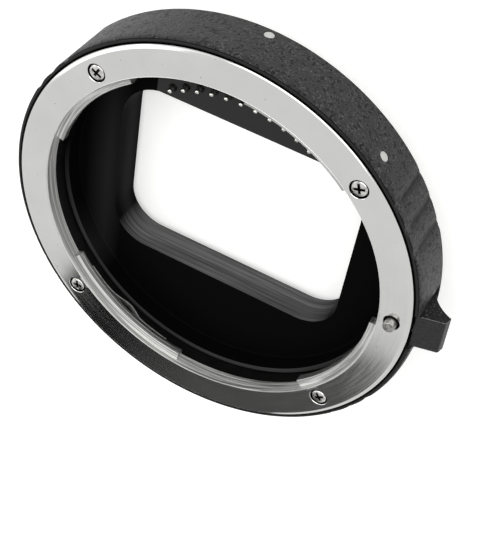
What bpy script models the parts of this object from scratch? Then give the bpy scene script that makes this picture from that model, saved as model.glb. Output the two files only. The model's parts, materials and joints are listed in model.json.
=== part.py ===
"""Macro extension tube, 11 mm, for a four-lug mirrorless camera bayonet.

The tube lies on the end face of its rear (male) bayonet, with the front (female) bayonet up.
All sizes are in metres. Z runs along the optical axis, the electrical contacts are at +Y and
the lens release slider is at +X.
"""
import math

import bmesh
import bpy
from mathutils import Matrix, Vector

# Gaps between pieces
CLEARANCE = 0.0003                 # between pieces that are fitted together

# Length of the tube
EXTENSION = 0.0110                 # front flange face to rear flange face
MALE_LENGTH = 0.0044               # rear bayonet beyond its flange face

# Front (female) bayonet ring
THROAT_RADIUS = 0.0275             # between the lugs
LUG_REACH = 0.0012                 # how far the lugs stand in from the bore
FACE_WIDTH = 0.00505               # flange face, bore to rim
RIM_BEVEL_WIDTH = 0.0006           # shallow bevel round the face
RIM_BEVEL_DROP = 0.00012
RIM_CHAMFER = 0.00015
FRONT_RING_THICKNESS = 0.0025
LUG_DEPTH = 0.0010                 # lug top below the flange face
LUG_LIFT = 0.0001                  # lug bottom above the ring's back
FRONT_LUGS = ((48.0, 86.0), (124.6, 165.8), (215.0, 265.7), (314.0, 359.0))

# Leaf springs under the front lugs
SPRING_MARGIN = 7.0                # degrees of lug left free at each end of its spring
SPRING_THICKNESS = 0.00022
SPRING_WIDTH = 0.0010
SPRING_BOW = 0.0014
SPRING_BUMP = (0.16, 0.72)         # shares of the spring between which it bows

# Barrel
BARREL_WALL = 0.00075              # wall outside the front ring
LIP_DROP = 0.00035                 # inner lip below the flange face
SHOULDER_DROP = 0.00055            # outer shoulder below the flange face
SHOULDER_DEPTH = 0.00145           # the shoulder's rounding, along the axis
SHOULDER_STEPS = 3
REAR_CHAMFER = 0.0004
REAR_STAND = 0.0014                # rear ring proud of the barrel
REAR_RIM_WALL = 0.0013             # wall round the rear ring's flange

# Grip lobes on the outside of the barrel
GRIP_CENTRES = (33.3, 146.7, 213.3, 326.7)
GRIP_PITCH = 6.7                   # degrees between valleys
GRIP_VALLEYS = 3
GRIP_DEPTH = 0.00048               # valleys below the barrel's skin
GRIP_CREST_DROP = 0.00020          # lobes' crests below the skin
GRIP_SAMPLES = 6                   # points on one lobe

# Rear (male) bayonet ring
MALE_WALL = 0.0009
REAR_FLANGE_THICKNESS = 0.0018
MALE_LUG_PLAY = 0.0001             # male lug behind the female lug it holds
MALE_LUG_END_GAP = 0.0006          # lug to the end of the bayonet
MALE_LUG_TRIM = 1.5                # degrees shorter than a front lug at each end
REAR_RIM_CHAMFER = 0.0003
LOCK_NOTCH_LENGTH = 0.0012         # extra tangential length of the lock pin notch

# Mounting screws
SCREW_SHARE = 0.4356               # screw circle's place across the flange face
FRONT_SCREW_ANGLES = (47.4, 132.8, 224.6, 319.7)
REAR_SCREW_ANGLES = (22.5, 112.5, 202.5, 292.5)
SCREW_HEAD_RADIUS = 0.00130
SCREW_HEAD_HEIGHT = 0.0007
SCREW_SHANK_RADIUS = 0.00080
SCREW_THREAD_LENGTH = 0.0028       # thread beyond the ring it holds
SCREW_SINK = 0.00005               # head below the flange face
RECESS_WIDTH = 0.00040
RECESS_SPAN = 0.00170
RECESS_DEPTH = 0.00045

# Light baffle: a cup with a picture gate and a tunnel to the rear
CUP_WALL = 0.0008
CUP_TOP_GAP = 0.0006               # top of the cup below the leaf springs
CUP_FLOOR_THICKNESS = 0.0009
GATE_SIDE_GAP = 0.0055             # gate's sides inside the rear sleeve
GATE_BOTTOM_GAP = 0.0120           # gate's lower edge inside the rear sleeve
GATE_TOP_GAP = 0.0008              # gate's tunnel below the contact window
GATE_CORNER = 0.0063               # lower corners
GATE_TOP_CORNER = 0.0072
TUNNEL_WALL = 0.0010
TUNNEL_END_GAP = 0.0015            # tunnel end to the end of the bayonet

# Electrical contacts
CONTACT_COUNT = 11
CONTACT_INSET = 0.0021             # contacts inside the rear sleeve
CONTACT_STEP = 5.70                # degrees between contacts
CONTACT_CENTRE = 90.5
PIN_RADIUS = 0.00040
PIN_STAND = 0.0013                 # pin above its block
PIN_TRAVEL = 0.0007
PIN_COLLAR_RADIUS = 0.00065
PIN_COLLAR_HEIGHT = 0.0003
BLOCK_EDGE = 0.0005                # block's edge toward the gate, from the tunnel's outside
BLOCK_THICKNESS = 0.0015
BLOCK_SIDE = 0.0028                # block beyond the outermost contacts
WINDOW_SIDE = 0.0016               # window beyond the outermost contacts
WINDOW_MARGIN = 0.0015             # window beyond the circle of contacts
WINDOW_EDGE = 0.0004               # window's lower edge below the pin collars
FLEX_THICKNESS = 0.0002
REAR_BLOCK_END_GAP = 0.0008        # rear block to the end of the bayonet
PAD_RADIUS = 0.00075
PAD_THICKNESS = 0.0004
PAD_GAP = 0.00025                  # around each pad

# Lens release slider, with its lock pin
SLIDER_ANGLE = 3.0
SLIDER_WIDTH = 0.0062
SLIDER_REACH = 0.0038              # tip beyond the barrel
SLIDER_TOP_DEPTH = 0.0010          # top edge below the flange face
SLIDER_FOOT = 0.0013               # rear end of the slider below its tongue
SLIDER_PAD_DROP = 0.0008           # front pad's outer edge below its inner edge
SLIDER_TIP_DROP = 0.00215          # tip below the top edge
SLIDER_TIP_INSET = 0.00035         # front pad's outer edge in from the tip
SLIDER_HOLLOW = 0.00044            # depth of the hollow back
SLIDER_HEEL = 0.0001               # height of the rear end over the barrel
SLOT_FLOOR = 0.0008                # barrel left behind the slider's slot
TONGUE_THICKNESS = 0.0010
TONGUE_WIDTH = 0.0052
LOCK_PIN_ANGLE = 4.3
LOCK_PIN_RADIUS = 0.00095
LOCK_PIN_STAND = 0.0012            # lock pin proud of the flange face
LOCK_PIN_TAIL_RADIUS = 0.00050
LOCK_PIN_TAIL_LENGTH = 0.0012      # tail below the carrier plate
CARRIER_THICKNESS = 0.0007
CARRIER_MARGIN = 0.0012            # plate beyond the lock pin's axis
RIVET_RADIUS = 0.00030
RIVET_HEAD_RADIUS = 0.00065
RIVET_HEAD_HEIGHT = 0.0002
RIVET_SIDE = 0.0011                # rivet off the slider's middle
RIVET_SHARE = 0.54                 # rivet's place along the tongue
COIL_RADIUS = 0.0010
COIL_WIRE_RADIUS = 0.00014
COIL_TURNS = 3.5
COIL_STEPS = 14                    # points in one turn
POCKET_FLOOR = 0.0006              # web left under the slider's pocket

# Index dots
DOT_RADIUS = 0.00078
DOT_DEPTH = 0.0003
FRONT_DOT_ANGLE = 50.4
FRONT_DOT_DEPTH = 0.0037           # centre below the flange face
REAR_DOT_ANGLE = 88.2
REAR_DOT_HEIGHT = 0.0017           # centre above the barrel's rear edge

# Fineness of round shapes
RING_STEPS = 88
SMALL_STEPS = 16
TAPPING_STEPS = 8
PIN_STEPS = 10
ARC_STEP = 4.0                     # degrees between points of a long arc
HOLLOW_STEPS = 6                   # points along the slider's hollow back
CUT_OVERRUN = 0.0010               # how far a cutter passes a face it opens

# Heights, from the end of the rear bayonet
REAR_FACE_Z = MALE_LENGTH
FRONT_FACE_Z = REAR_FACE_Z + EXTENSION
REAR_FLANGE_TOP_Z = REAR_FACE_Z + REAR_FLANGE_THICKNESS
BARREL_REAR_Z = REAR_FACE_Z + REAR_STAND
WEB_BOTTOM_Z = REAR_FLANGE_TOP_Z + CLEARANCE
SHELF_Z = FRONT_FACE_Z - FRONT_RING_THICKNESS - CLEARANCE
LUG_TOP_Z = FRONT_FACE_Z - LUG_DEPTH
LUG_BOTTOM_Z = FRONT_FACE_Z - FRONT_RING_THICKNESS + LUG_LIFT
SPRING_TOP_Z = LUG_BOTTOM_Z - CLEARANCE
MALE_LUG_TOP_Z = LUG_BOTTOM_Z - EXTENSION - MALE_LUG_PLAY
CUP_TOP_Z = SPRING_TOP_Z - SPRING_BOW - SPRING_THICKNESS - CUP_TOP_GAP
CUP_BOTTOM_Z = REAR_FLANGE_TOP_Z + CLEARANCE
CUP_FLOOR_Z = CUP_BOTTOM_Z + CUP_FLOOR_THICKNESS

# Radii
BORE_RADIUS = THROAT_RADIUS + LUG_REACH
FRONT_RING_RADIUS = BORE_RADIUS + FACE_WIDTH
LIP_BORE_RADIUS = FRONT_RING_RADIUS + CLEARANCE
BARREL_RADIUS = LIP_BORE_RADIUS + BARREL_WALL
LIP_RADIUS = LIP_BORE_RADIUS + CLEARANCE
REAR_RECESS_RADIUS = BARREL_RADIUS - REAR_RIM_WALL
REAR_FLANGE_RADIUS = REAR_RECESS_RADIUS - CLEARANCE
SCREW_CIRCLE = BORE_RADIUS + FACE_WIDTH * SCREW_SHARE
WEB_RADIUS = BORE_RADIUS + CLEARANCE
CUP_RADIUS = WEB_RADIUS - CLEARANCE
CUP_BORE_RADIUS = CUP_RADIUS - CUP_WALL
MALE_RADIUS = THROAT_RADIUS - CLEARANCE
MALE_BORE_RADIUS = MALE_RADIUS - MALE_WALL
MALE_LUG_RADIUS = BORE_RADIUS - CLEARANCE
TUNNEL_RADIUS = MALE_BORE_RADIUS - CLEARANCE
SLIDER_TIP_RADIUS = BARREL_RADIUS + SLIDER_REACH
CARRIER_INNER_RADIUS = SCREW_CIRCLE - CARRIER_MARGIN

# The row of contacts, and the picture gate below it
CONTACT_CIRCLE = TUNNEL_RADIUS - CONTACT_INSET
CONTACT_HALF_SPAN = math.radians(CONTACT_STEP * (CONTACT_COUNT - 1) / 2)
CONTACT_ROW_HALF_WIDTH = CONTACT_CIRCLE * math.sin(CONTACT_HALF_SPAN)
WINDOW_LOW = (CONTACT_CIRCLE * math.cos(CONTACT_HALF_SPAN) - PIN_COLLAR_RADIUS
              - WINDOW_EDGE)
WINDOW_HALF_WIDTH = CONTACT_ROW_HALF_WIDTH + WINDOW_SIDE
BLOCK_HALF_WIDTH = CONTACT_ROW_HALF_WIDTH + BLOCK_SIDE
GATE_TOP = WINDOW_LOW - CLEARANCE - GATE_TOP_GAP - TUNNEL_WALL
BLOCK_LOW = WINDOW_LOW - CLEARANCE - BLOCK_EDGE
GATE_BOTTOM = GATE_BOTTOM_GAP - TUNNEL_RADIUS
GATE_HALF_WIDTH = TUNNEL_RADIUS - GATE_SIDE_GAP

# The stack that moves with the slider: rivet head, carrier plate, tongue, rivet head
RIVET_TOP_Z = SHELF_Z
CARRIER_TOP_Z = RIVET_TOP_Z - RIVET_HEAD_HEIGHT - CLEARANCE
CARRIER_BOTTOM_Z = CARRIER_TOP_Z - CARRIER_THICKNESS
TONGUE_TOP_Z = CARRIER_BOTTOM_Z - CLEARANCE
TONGUE_BOTTOM_Z = TONGUE_TOP_Z - TONGUE_THICKNESS
SLIDER_TOP_Z = FRONT_FACE_Z - SLIDER_TOP_DEPTH
SLIDER_BOTTOM_Z = TONGUE_BOTTOM_Z - SLIDER_FOOT
SLIDER_LENGTH = SLIDER_TOP_Z - SLIDER_BOTTOM_Z
SLOT_LOW_Z = BARREL_REAR_Z + SLOT_FLOOR
SLIDER_TRAVEL = SLIDER_BOTTOM_Z - CLEARANCE - SLOT_LOW_Z
POCKET_FLOOR_Z = WEB_BOTTOM_Z + POCKET_FLOOR
TONGUE_REACH = LIP_BORE_RADIUS - SCREW_CIRCLE - COIL_RADIUS - COIL_WIRE_RADIUS - CLEARANCE
RIVET_INSET = TONGUE_REACH * RIVET_SHARE

# The stack of electrical contacts, built on the cup's floor
BLOCK_BOTTOM_Z = CUP_FLOOR_Z + CLEARANCE
BLOCK_TOP_Z = BLOCK_BOTTOM_Z + BLOCK_THICKNESS
PIN_TIP_Z = BLOCK_TOP_Z + PIN_STAND
COLLAR_TOP_Z = BLOCK_BOTTOM_Z - CLEARANCE
PIN_BOTTOM_Z = COLLAR_TOP_Z - PIN_COLLAR_HEIGHT
FLEX_TOP_Z = PIN_BOTTOM_Z - PIN_TRAVEL - CLEARANCE
REAR_BLOCK_TOP_Z = FLEX_TOP_Z - FLEX_THICKNESS - CLEARANCE

# The tube's axis stands off the origin, which is the middle of the whole tube's base
SLIDER_TURN = math.radians(SLIDER_ANGLE)
SLIDER_EXTENT = (SLIDER_TIP_RADIUS * math.cos(SLIDER_TURN)
                 + SLIDER_WIDTH / 2 * math.sin(abs(SLIDER_TURN)))
AXIS_X = (BARREL_RADIUS - SLIDER_EXTENT) / 2

for old in list(bpy.data.objects):
    bpy.data.objects.remove(old, do_unlink=True)

PARTS = bpy.data.collections.new("macro_extension_tube")
CUTTERS = bpy.data.collections.new("cutters")
bpy.context.scene.collection.children.link(PARTS)
bpy.context.scene.collection.children.link(CUTTERS)


def material(name, color, roughness, metallic=0.0):
    """A Principled material with one colour."""
    made = bpy.data.materials.new(name)
    made.use_nodes = True
    shader = made.node_tree.nodes["Principled BSDF"]
    shader.inputs["Base Color"].default_value = (*color, 1.0)
    shader.inputs["Roughness"].default_value = roughness
    shader.inputs["Metallic"].default_value = metallic
    return made


CHROME = material("chromed_brass", (0.60, 0.60, 0.59), 0.22, 1.0)
BLACK_PAINT = material("textured_black_paint", (0.035, 0.035, 0.036), 0.62)
BLACK_PLASTIC = material("matt_black_abs", (0.018, 0.018, 0.018), 0.70)
SLIDER_PLASTIC = material("slider_black_abs", (0.045, 0.045, 0.046), 0.50)
STEEL = material("spring_steel", (0.52, 0.52, 0.51), 0.30, 1.0)
SCREW_STEEL = material("nickel_plated_screw", (0.55, 0.55, 0.54), 0.28, 1.0)
GOLD = material("gold_plating", (0.85, 0.62, 0.24), 0.25, 1.0)
FLEX = material("polyimide_flex", (0.30, 0.14, 0.03), 0.45)
WHITE_PAINT = material("white_paint", (0.62, 0.62, 0.60), 0.55)


def axis_empty():
    """The tube's optical axis, which carries every piece."""
    empty = bpy.data.objects.new("optical_axis", None)
    empty.location = (AXIS_X, 0.0, 0.0)
    PARTS.objects.link(empty)
    return empty


AXIS = axis_empty()


def add_object(name, mesh, finish, parent=None):
    """One named piece of the tube."""
    made = bpy.data.objects.new(name, mesh)
    made.parent = parent or AXIS
    made.data.materials.clear()
    made.data.materials.append(finish)
    PARTS.objects.link(made)
    return made


def to_cutter(made):
    """Turn a shape into a hidden cutter."""
    for collection in list(made.users_collection):
        collection.objects.unlink(made)
    CUTTERS.objects.link(made)
    made.hide_render = True
    made.display_type = 'WIRE'
    return made


def add_boolean(target, cutter, operation='DIFFERENCE'):
    """Cut, join or trim one shape with another."""
    boolean = target.modifiers.new(operation.lower() + "_" + cutter.name, 'BOOLEAN')
    boolean.operation = operation
    boolean.solver = 'EXACT'
    boolean.object = cutter
    return boolean


def smooth(mesh, angle=35.0):
    """Shade the round faces smooth and keep the real edges sharp."""
    mesh.shade_smooth()
    mesh.set_sharp_from_angle(angle=math.radians(angle))


def polar(radius, degrees):
    """The point at a radius and an angle about the optical axis."""
    turn = math.radians(degrees)
    return radius * math.cos(turn), radius * math.sin(turn)


def arc(radius, start, end, step=ARC_STEP):
    """Points along an arc about the optical axis, both ends included."""
    count = max(2, math.ceil(abs(end - start) / step))
    return [polar(radius, start + (end - start) * i / count) for i in range(count + 1)]


def turned(name, profile, finish, steps=RING_STEPS, parent=None, closed=True):
    """Turn a profile of (radius, height) points about Z.

    The points run down the outer side. A closed profile is a ring's section, and an open one
    starts and ends on the axis.
    """
    mesh = bpy.data.meshes.new(name)
    points = [(radius, 0.0, height) for radius, height in profile]
    edges = [(i, i + 1) for i in range(len(points) - 1)]
    if closed:
        edges.append((len(points) - 1, 0))
    mesh.from_pydata(points, edges, [])
    made = add_object(name, mesh, finish, parent)
    screw = made.modifiers.new("turn", 'SCREW')
    screw.axis = 'Z'
    screw.angle = math.tau
    screw.steps = steps
    screw.render_steps = steps
    screw.use_merge_vertices = True
    screw.merge_threshold = 0.000001
    screw.use_smooth_shade = False
    return baked(made)


def baked(made):
    """Replace an object's curve or modifiers with the closed mesh that they make."""
    graph = bpy.context.evaluated_depsgraph_get()
    mesh = bpy.data.meshes.new_from_object(made.evaluated_get(graph))
    shape = bmesh.new()
    shape.from_mesh(mesh)
    bmesh.ops.remove_doubles(shape, verts=shape.verts, dist=0.000001)
    shape.to_mesh(mesh)
    shape.free()
    smooth(mesh)
    name = made.name
    finish = made.data.materials[0]
    replacement = bpy.data.objects.new(name, mesh)
    replacement.parent = made.parent
    replacement.matrix_local = made.matrix_local.copy()
    for collection in made.users_collection:
        collection.objects.link(replacement)
    bpy.data.objects.remove(made, do_unlink=True)
    replacement.name = name
    mesh.name = name
    mesh.materials.clear()
    mesh.materials.append(finish)
    return replacement


def flat(name, outlines, low, high, finish, parent=None):
    """A flat plate between two heights, from closed outlines of (x, y) points."""
    curve = bpy.data.curves.new(name, 'CURVE')
    curve.dimensions = '2D'
    curve.fill_mode = 'BOTH'
    curve.extrude = (high - low) / 2
    for outline in outlines:
        spline = curve.splines.new('POLY')
        spline.points.add(len(outline) - 1)
        for point, (x, y) in zip(spline.points, outline):
            point.co = (x, y, 0.0, 1.0)
        spline.use_cyclic_u = True
    made = add_object(name, curve, finish, parent)
    made.location.z = (high + low) / 2
    return baked(made)


def rod(name, radius, low, high, centre=(0.0, 0.0), steps=SMALL_STEPS):
    """A round cutter that stands along Z."""
    profile = [(0.0, high), (radius, high), (radius, low), (0.0, low)]
    made = turned(name, profile, BLACK_PLASTIC, steps, closed=False)
    made.location = (centre[0], centre[1], 0.0)
    return to_cutter(made)


def sector(inner, outer, start, end):
    """The outline of a piece of a ring."""
    return arc(outer, start, end) + arc(inner, end, start)


def chord_segment(low, radius, half_width):
    """The outline between a level chord and the arc above it, with upright ends."""
    turn = math.degrees(math.acos(half_width / radius))
    return [(-half_width, low), (half_width, low)] + arc(radius, turn, 180.0 - turn)


def rounded_gate(grow):
    """The picture gate's outline, grown outward by a wall."""
    left = -GATE_HALF_WIDTH - grow
    right = GATE_HALF_WIDTH + grow
    bottom = GATE_BOTTOM - grow
    top = GATE_TOP + grow
    low = GATE_CORNER + grow
    high = GATE_TOP_CORNER + grow
    centres = ((right - high, top - high, 0.0, high), (left + high, top - high, 90.0, high),
               (left + low, bottom + low, 180.0, low), (right - low, bottom + low, 270.0, low))
    points = []
    for x, y, start, corner in centres:
        points += [(x + px, y + py) for px, py in arc(corner, start, start + 90.0, 15.0)]
    return points


def tangential_box(inner, outer, width, low, high, degrees):
    """The outline of a straight-sided box that points outward at an angle."""
    turn = Matrix.Rotation(math.radians(degrees), 2)
    corners = ((inner, -width / 2), (outer, -width / 2), (outer, width / 2), (inner, width / 2))
    return [tuple(turn @ Vector(corner)) for corner in corners], low, high


# The front ring: a turned flange with four lugs standing into its bore
def front_bayonet_ring():
    top = FRONT_FACE_Z
    bottom = FRONT_FACE_Z - FRONT_RING_THICKNESS
    ring = turned("front_bayonet_ring", [
        (FRONT_RING_RADIUS - RIM_CHAMFER - RIM_BEVEL_WIDTH, top),
        (FRONT_RING_RADIUS - RIM_CHAMFER, top - RIM_BEVEL_DROP),
        (FRONT_RING_RADIUS, top - RIM_BEVEL_DROP - RIM_CHAMFER),
        (FRONT_RING_RADIUS, bottom),
        (BORE_RADIUS, bottom),
        (BORE_RADIUS, top - RIM_CHAMFER),
        (BORE_RADIUS + RIM_CHAMFER, top),
    ], CHROME)
    for index, (start, end) in enumerate(FRONT_LUGS, 1):
        root = BORE_RADIUS + (FRONT_RING_RADIUS - BORE_RADIUS) / 8
        lug = flat(f"front_lug_{index}", [sector(THROAT_RADIUS, root, start, end)],
                   LUG_BOTTOM_Z, LUG_TOP_Z, CHROME)
        add_boolean(ring, to_cutter(lug), 'UNION')
    for index, angle in enumerate(FRONT_SCREW_ANGLES, 1):
        cut_screw_seat(ring, f"front_seat_{index}", angle, top, bottom, 1)
    hole = rod("lock_pin_hole", LOCK_PIN_RADIUS + CLEARANCE, bottom - CUT_OVERRUN, top + CUT_OVERRUN,
               polar(SCREW_CIRCLE, LOCK_PIN_ANGLE))
    add_boolean(ring, hole)
    return ring


# A screw's seat in a ring: a counterbore for the head and a hole for the shank
def cut_screw_seat(ring, name, angle, face, back, up):
    floor = face - up * (SCREW_SINK + SCREW_HEAD_HEIGHT + CLEARANCE)
    head = SCREW_HEAD_RADIUS + CLEARANCE * 2 / 3
    shank = SCREW_SHANK_RADIUS + CLEARANCE
    over = up * CUT_OVERRUN
    profile = [(0.0, face + over), (head, face + over), (head, floor), (shank, floor),
               (shank, back - over), (0.0, back - over)]
    if up < 0:
        profile.reverse()
    seat = turned(name, profile, BLACK_PLASTIC, SMALL_STEPS, closed=False)
    seat.location = (*polar(SCREW_CIRCLE, angle), 0.0)
    add_boolean(ring, to_cutter(seat))


# A countersunk screw with a cross recess, its head toward +Z when up is 1
def ring_screw(name, angle, face, back, up):
    top = face - up * SCREW_SINK
    under = top - up * SCREW_HEAD_HEIGHT
    tip = back - up * SCREW_THREAD_LENGTH
    crown = SCREW_HEAD_RADIUS * 0.86
    profile = [(0.0, top), (crown, top), (SCREW_HEAD_RADIUS, top - up * SCREW_HEAD_HEIGHT * 0.3),
               (SCREW_HEAD_RADIUS, under), (SCREW_SHANK_RADIUS, under),
               (SCREW_SHANK_RADIUS, tip), (0.0, tip)]
    if up < 0:
        profile.reverse()
    screw = turned(name, profile, SCREW_STEEL, SMALL_STEPS, closed=False)
    screw.location = (*polar(SCREW_CIRCLE, angle), 0.0)
    half = RECESS_WIDTH / 2
    span = RECESS_SPAN / 2
    cross = [(half, half), (half, span), (-half, span), (-half, half), (-span, half),
             (-span, -half), (-half, -half), (-half, -span), (half, -span), (half, -half),
             (span, -half), (span, half)]
    ends = sorted((top + up * CUT_OVERRUN, top - up * RECESS_DEPTH))
    recess = flat(name + "_recess", [cross], ends[0], ends[1], SCREW_STEEL)
    recess.location.x = screw.location.x
    recess.location.y = screw.location.y
    recess.rotation_euler.z = math.radians(angle * 1.7)
    add_boolean(screw, to_cutter(recess))
    return screw


# The barrel: an outer wall with a web inside, which both rings are screwed to
def barrel():
    face = FRONT_FACE_Z
    width = (BARREL_RADIUS - LIP_RADIUS) * 0.9
    shoulder = []
    for step in range(SHOULDER_STEPS + 1):
        turn = math.pi / 2 * step / SHOULDER_STEPS
        shoulder.append((BARREL_RADIUS - width * (1.0 - math.sin(turn)),
                         face - SHOULDER_DROP - SHOULDER_DEPTH * (1.0 - math.cos(turn))))
    body = turned("barrel", [
        (LIP_RADIUS, face - LIP_DROP),
        (LIP_RADIUS, face - SHOULDER_DROP),
        *shoulder,
        (BARREL_RADIUS, BARREL_REAR_Z + REAR_CHAMFER),
        (BARREL_RADIUS - REAR_CHAMFER, BARREL_REAR_Z),
        (REAR_RECESS_RADIUS, BARREL_REAR_Z),
        (REAR_RECESS_RADIUS, WEB_BOTTOM_Z),
        (WEB_RADIUS, WEB_BOTTOM_Z),
        (WEB_RADIUS, SHELF_Z),
        (LIP_BORE_RADIUS, SHELF_Z),
        (LIP_BORE_RADIUS, face - LIP_DROP),
    ], BLACK_PAINT)
    for index, centre in enumerate(GRIP_CENTRES, 1):
        cutter = flat(f"grip_cut_{index}", [grip_outline(centre)], BARREL_REAR_Z - CUT_OVERRUN,
                      face + CUT_OVERRUN, BLACK_PAINT)
        add_boolean(body, to_cutter(cutter))
    cut_slider_slot(body)
    shank = SCREW_SHANK_RADIUS + CLEARANCE
    depth = SCREW_THREAD_LENGTH + CLEARANCE
    for index, angle in enumerate(FRONT_SCREW_ANGLES, 1):
        low = SHELF_Z + CLEARANCE - depth
        add_boolean(body, rod(f"front_tapping_{index}", shank, low, SHELF_Z + CUT_OVERRUN,
                              polar(SCREW_CIRCLE, angle), TAPPING_STEPS))
    for index, angle in enumerate(REAR_SCREW_ANGLES, 1):
        high = WEB_BOTTOM_Z - CLEARANCE + depth
        add_boolean(body, rod(f"rear_tapping_{index}", shank, WEB_BOTTOM_Z - CUT_OVERRUN, high,
                              polar(SCREW_CIRCLE, angle), TAPPING_STEPS))
    for name, angle, height in dot_places():
        add_boolean(body, dot_shape(name + "_recess", angle, height, DOT_RADIUS + CLEARANCE / 2,
                                    DOT_DEPTH + CLEARANCE / 2, CUT_OVERRUN))
    return body


# The lobed edge of one grip, as the material that is cut away from the barrel
def grip_outline(centre):
    first = centre - GRIP_PITCH * GRIP_VALLEYS / 2
    lobed = []
    for sample in range(GRIP_SAMPLES * GRIP_VALLEYS + 1):
        share = sample / GRIP_SAMPLES
        crest = GRIP_CREST_DROP if 0.5 < share < GRIP_VALLEYS - 0.5 else 0.0
        depth = GRIP_DEPTH - (GRIP_DEPTH - crest) * abs(math.cos(math.pi * share))
        lobed.append(polar(BARREL_RADIUS - depth, first + GRIP_PITCH * share))
    return arc(BARREL_RADIUS + CUT_OVERRUN, first, first + GRIP_PITCH * GRIP_VALLEYS) + lobed[::-1]


# The slot for the thumb piece and the pocket for the lock pin's carrier
def cut_slider_slot(body):
    face = FRONT_FACE_Z
    outline, low, high = tangential_box(
        LIP_BORE_RADIUS - CLEARANCE, BARREL_RADIUS + CUT_OVERRUN * 2,
        SLIDER_WIDTH + 2 * CLEARANCE, SLOT_LOW_Z, face + CUT_OVERRUN, SLIDER_ANGLE)
    add_boolean(body, to_cutter(flat("slider_slot", [outline], low, high, BLACK_PAINT)))
    outline, low, high = tangential_box(
        CARRIER_INNER_RADIUS - CLEARANCE, LIP_BORE_RADIUS,
        TONGUE_WIDTH + 2 * CLEARANCE, POCKET_FLOOR_Z, face + CUT_OVERRUN, SLIDER_ANGLE)
    add_boolean(body, to_cutter(flat("carrier_pocket", [outline], low, high, BLACK_PAINT)))


# Where the two white index dots lie on the barrel
def dot_places():
    return (("front_index_dot", FRONT_DOT_ANGLE, FRONT_FACE_Z - FRONT_DOT_DEPTH),
            ("rear_index_dot", REAR_DOT_ANGLE, BARREL_REAR_Z + REAR_DOT_HEIGHT))


# A short round disc that faces outward at the barrel's surface
def dot_shape(name, angle, height, radius, depth, stand):
    profile = [(0.0, stand), (radius, stand), (radius, -depth), (0.0, -depth)]
    disc = turned(name, profile, WHITE_PAINT, SMALL_STEPS, closed=False)
    x, y = polar(BARREL_RADIUS, angle)
    disc.location = (x, y, height)
    disc.rotation_euler = (0.0, math.pi / 2, math.radians(angle))
    return to_cutter(disc)


def index_dots():
    for name, angle, height in dot_places():
        disc = dot_shape(name, angle, height, DOT_RADIUS, DOT_DEPTH - CLEARANCE / 2, 0.0)
        CUTTERS.objects.unlink(disc)
        PARTS.objects.link(disc)
        disc.hide_render = False
        disc.display_type = 'TEXTURED'


# Leaf springs that press a lens's lugs against the flange
def leaf_springs():
    outer = BORE_RADIUS
    low, high = SPRING_BUMP
    for index, (start, end) in enumerate(FRONT_LUGS, 1):
        first = start + SPRING_MARGIN
        last = end - SPRING_MARGIN
        count = math.ceil((last - first) / 2.0)
        points = []
        for i in range(count + 1):
            share = i / count
            bump = min(max((share - low) / (high - low), 0.0), 1.0)
            drop = SPRING_BOW * math.sin(math.pi * bump) ** 2
            for radius in (outer - SPRING_WIDTH, outer):
                place = polar(radius, first + (last - first) * share)
                points.append((*place, SPRING_TOP_Z - drop))
        faces = [(2 * i, 2 * i + 1, 2 * i + 3, 2 * i + 2) for i in range(count)]
        mesh = bpy.data.meshes.new(f"leaf_spring_{index}")
        mesh.from_pydata(points, [], faces)
        spring = add_object(f"leaf_spring_{index}", mesh, STEEL)
        solid = spring.modifiers.new("thickness", 'SOLIDIFY')
        solid.thickness = SPRING_THICKNESS
        solid.offset = -1.0
        baked(spring)


# The light baffle: a shallow cup whose floor has the picture gate, and a tunnel behind it
def light_baffle():
    cup = turned("light_baffle", [
        (0.0, CUP_FLOOR_Z), (CUP_BORE_RADIUS, CUP_FLOOR_Z), (CUP_BORE_RADIUS, CUP_TOP_Z),
        (CUP_RADIUS, CUP_TOP_Z), (CUP_RADIUS, CUP_BOTTOM_Z), (0.0, CUP_BOTTOM_Z),
    ], BLACK_PLASTIC, closed=False)
    overlap = (CUP_FLOOR_Z - CUP_BOTTOM_Z) / 2
    tunnel = flat("tunnel", [rounded_gate(TUNNEL_WALL)], TUNNEL_END_GAP, CUP_BOTTOM_Z + overlap,
                  BLACK_PLASTIC)
    limit = rod("tunnel_limit", TUNNEL_RADIUS, -CUT_OVERRUN, FRONT_FACE_Z, steps=RING_STEPS)
    add_boolean(tunnel, limit, 'INTERSECT')
    add_boolean(cup, to_cutter(tunnel), 'UNION')
    gate = flat("gate_opening", [rounded_gate(0.0)], -CUT_OVERRUN, FRONT_FACE_Z, BLACK_PLASTIC)
    add_boolean(cup, to_cutter(gate))
    outline = chord_segment(WINDOW_LOW, CONTACT_CIRCLE + WINDOW_MARGIN, WINDOW_HALF_WIDTH)
    window = flat("contact_window", [outline], CUP_BOTTOM_Z - overlap,
                  CUP_FLOOR_Z + CUT_OVERRUN, BLACK_PLASTIC)
    add_boolean(cup, to_cutter(window))
    return cup


def contact_angles():
    first = CONTACT_CENTRE - CONTACT_STEP * (CONTACT_COUNT - 1) / 2
    return [first + CONTACT_STEP * i for i in range(CONTACT_COUNT)]


# The block that guides the sprung pins
def front_contact_block():
    outline = chord_segment(BLOCK_LOW, CUP_BORE_RADIUS - CLEARANCE, BLOCK_HALF_WIDTH)
    block = flat("front_contact_block", [outline], BLOCK_BOTTOM_Z, BLOCK_TOP_Z, BLACK_PLASTIC)
    for index, angle in enumerate(contact_angles(), 1):
        add_boolean(block, rod(f"pin_guide_{index:02d}", PIN_RADIUS + CLEARANCE,
                               BLOCK_BOTTOM_Z - CUT_OVERRUN, BLOCK_TOP_Z + CUT_OVERRUN,
                               polar(CONTACT_CIRCLE, angle), PIN_STEPS))
    return block


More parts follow.
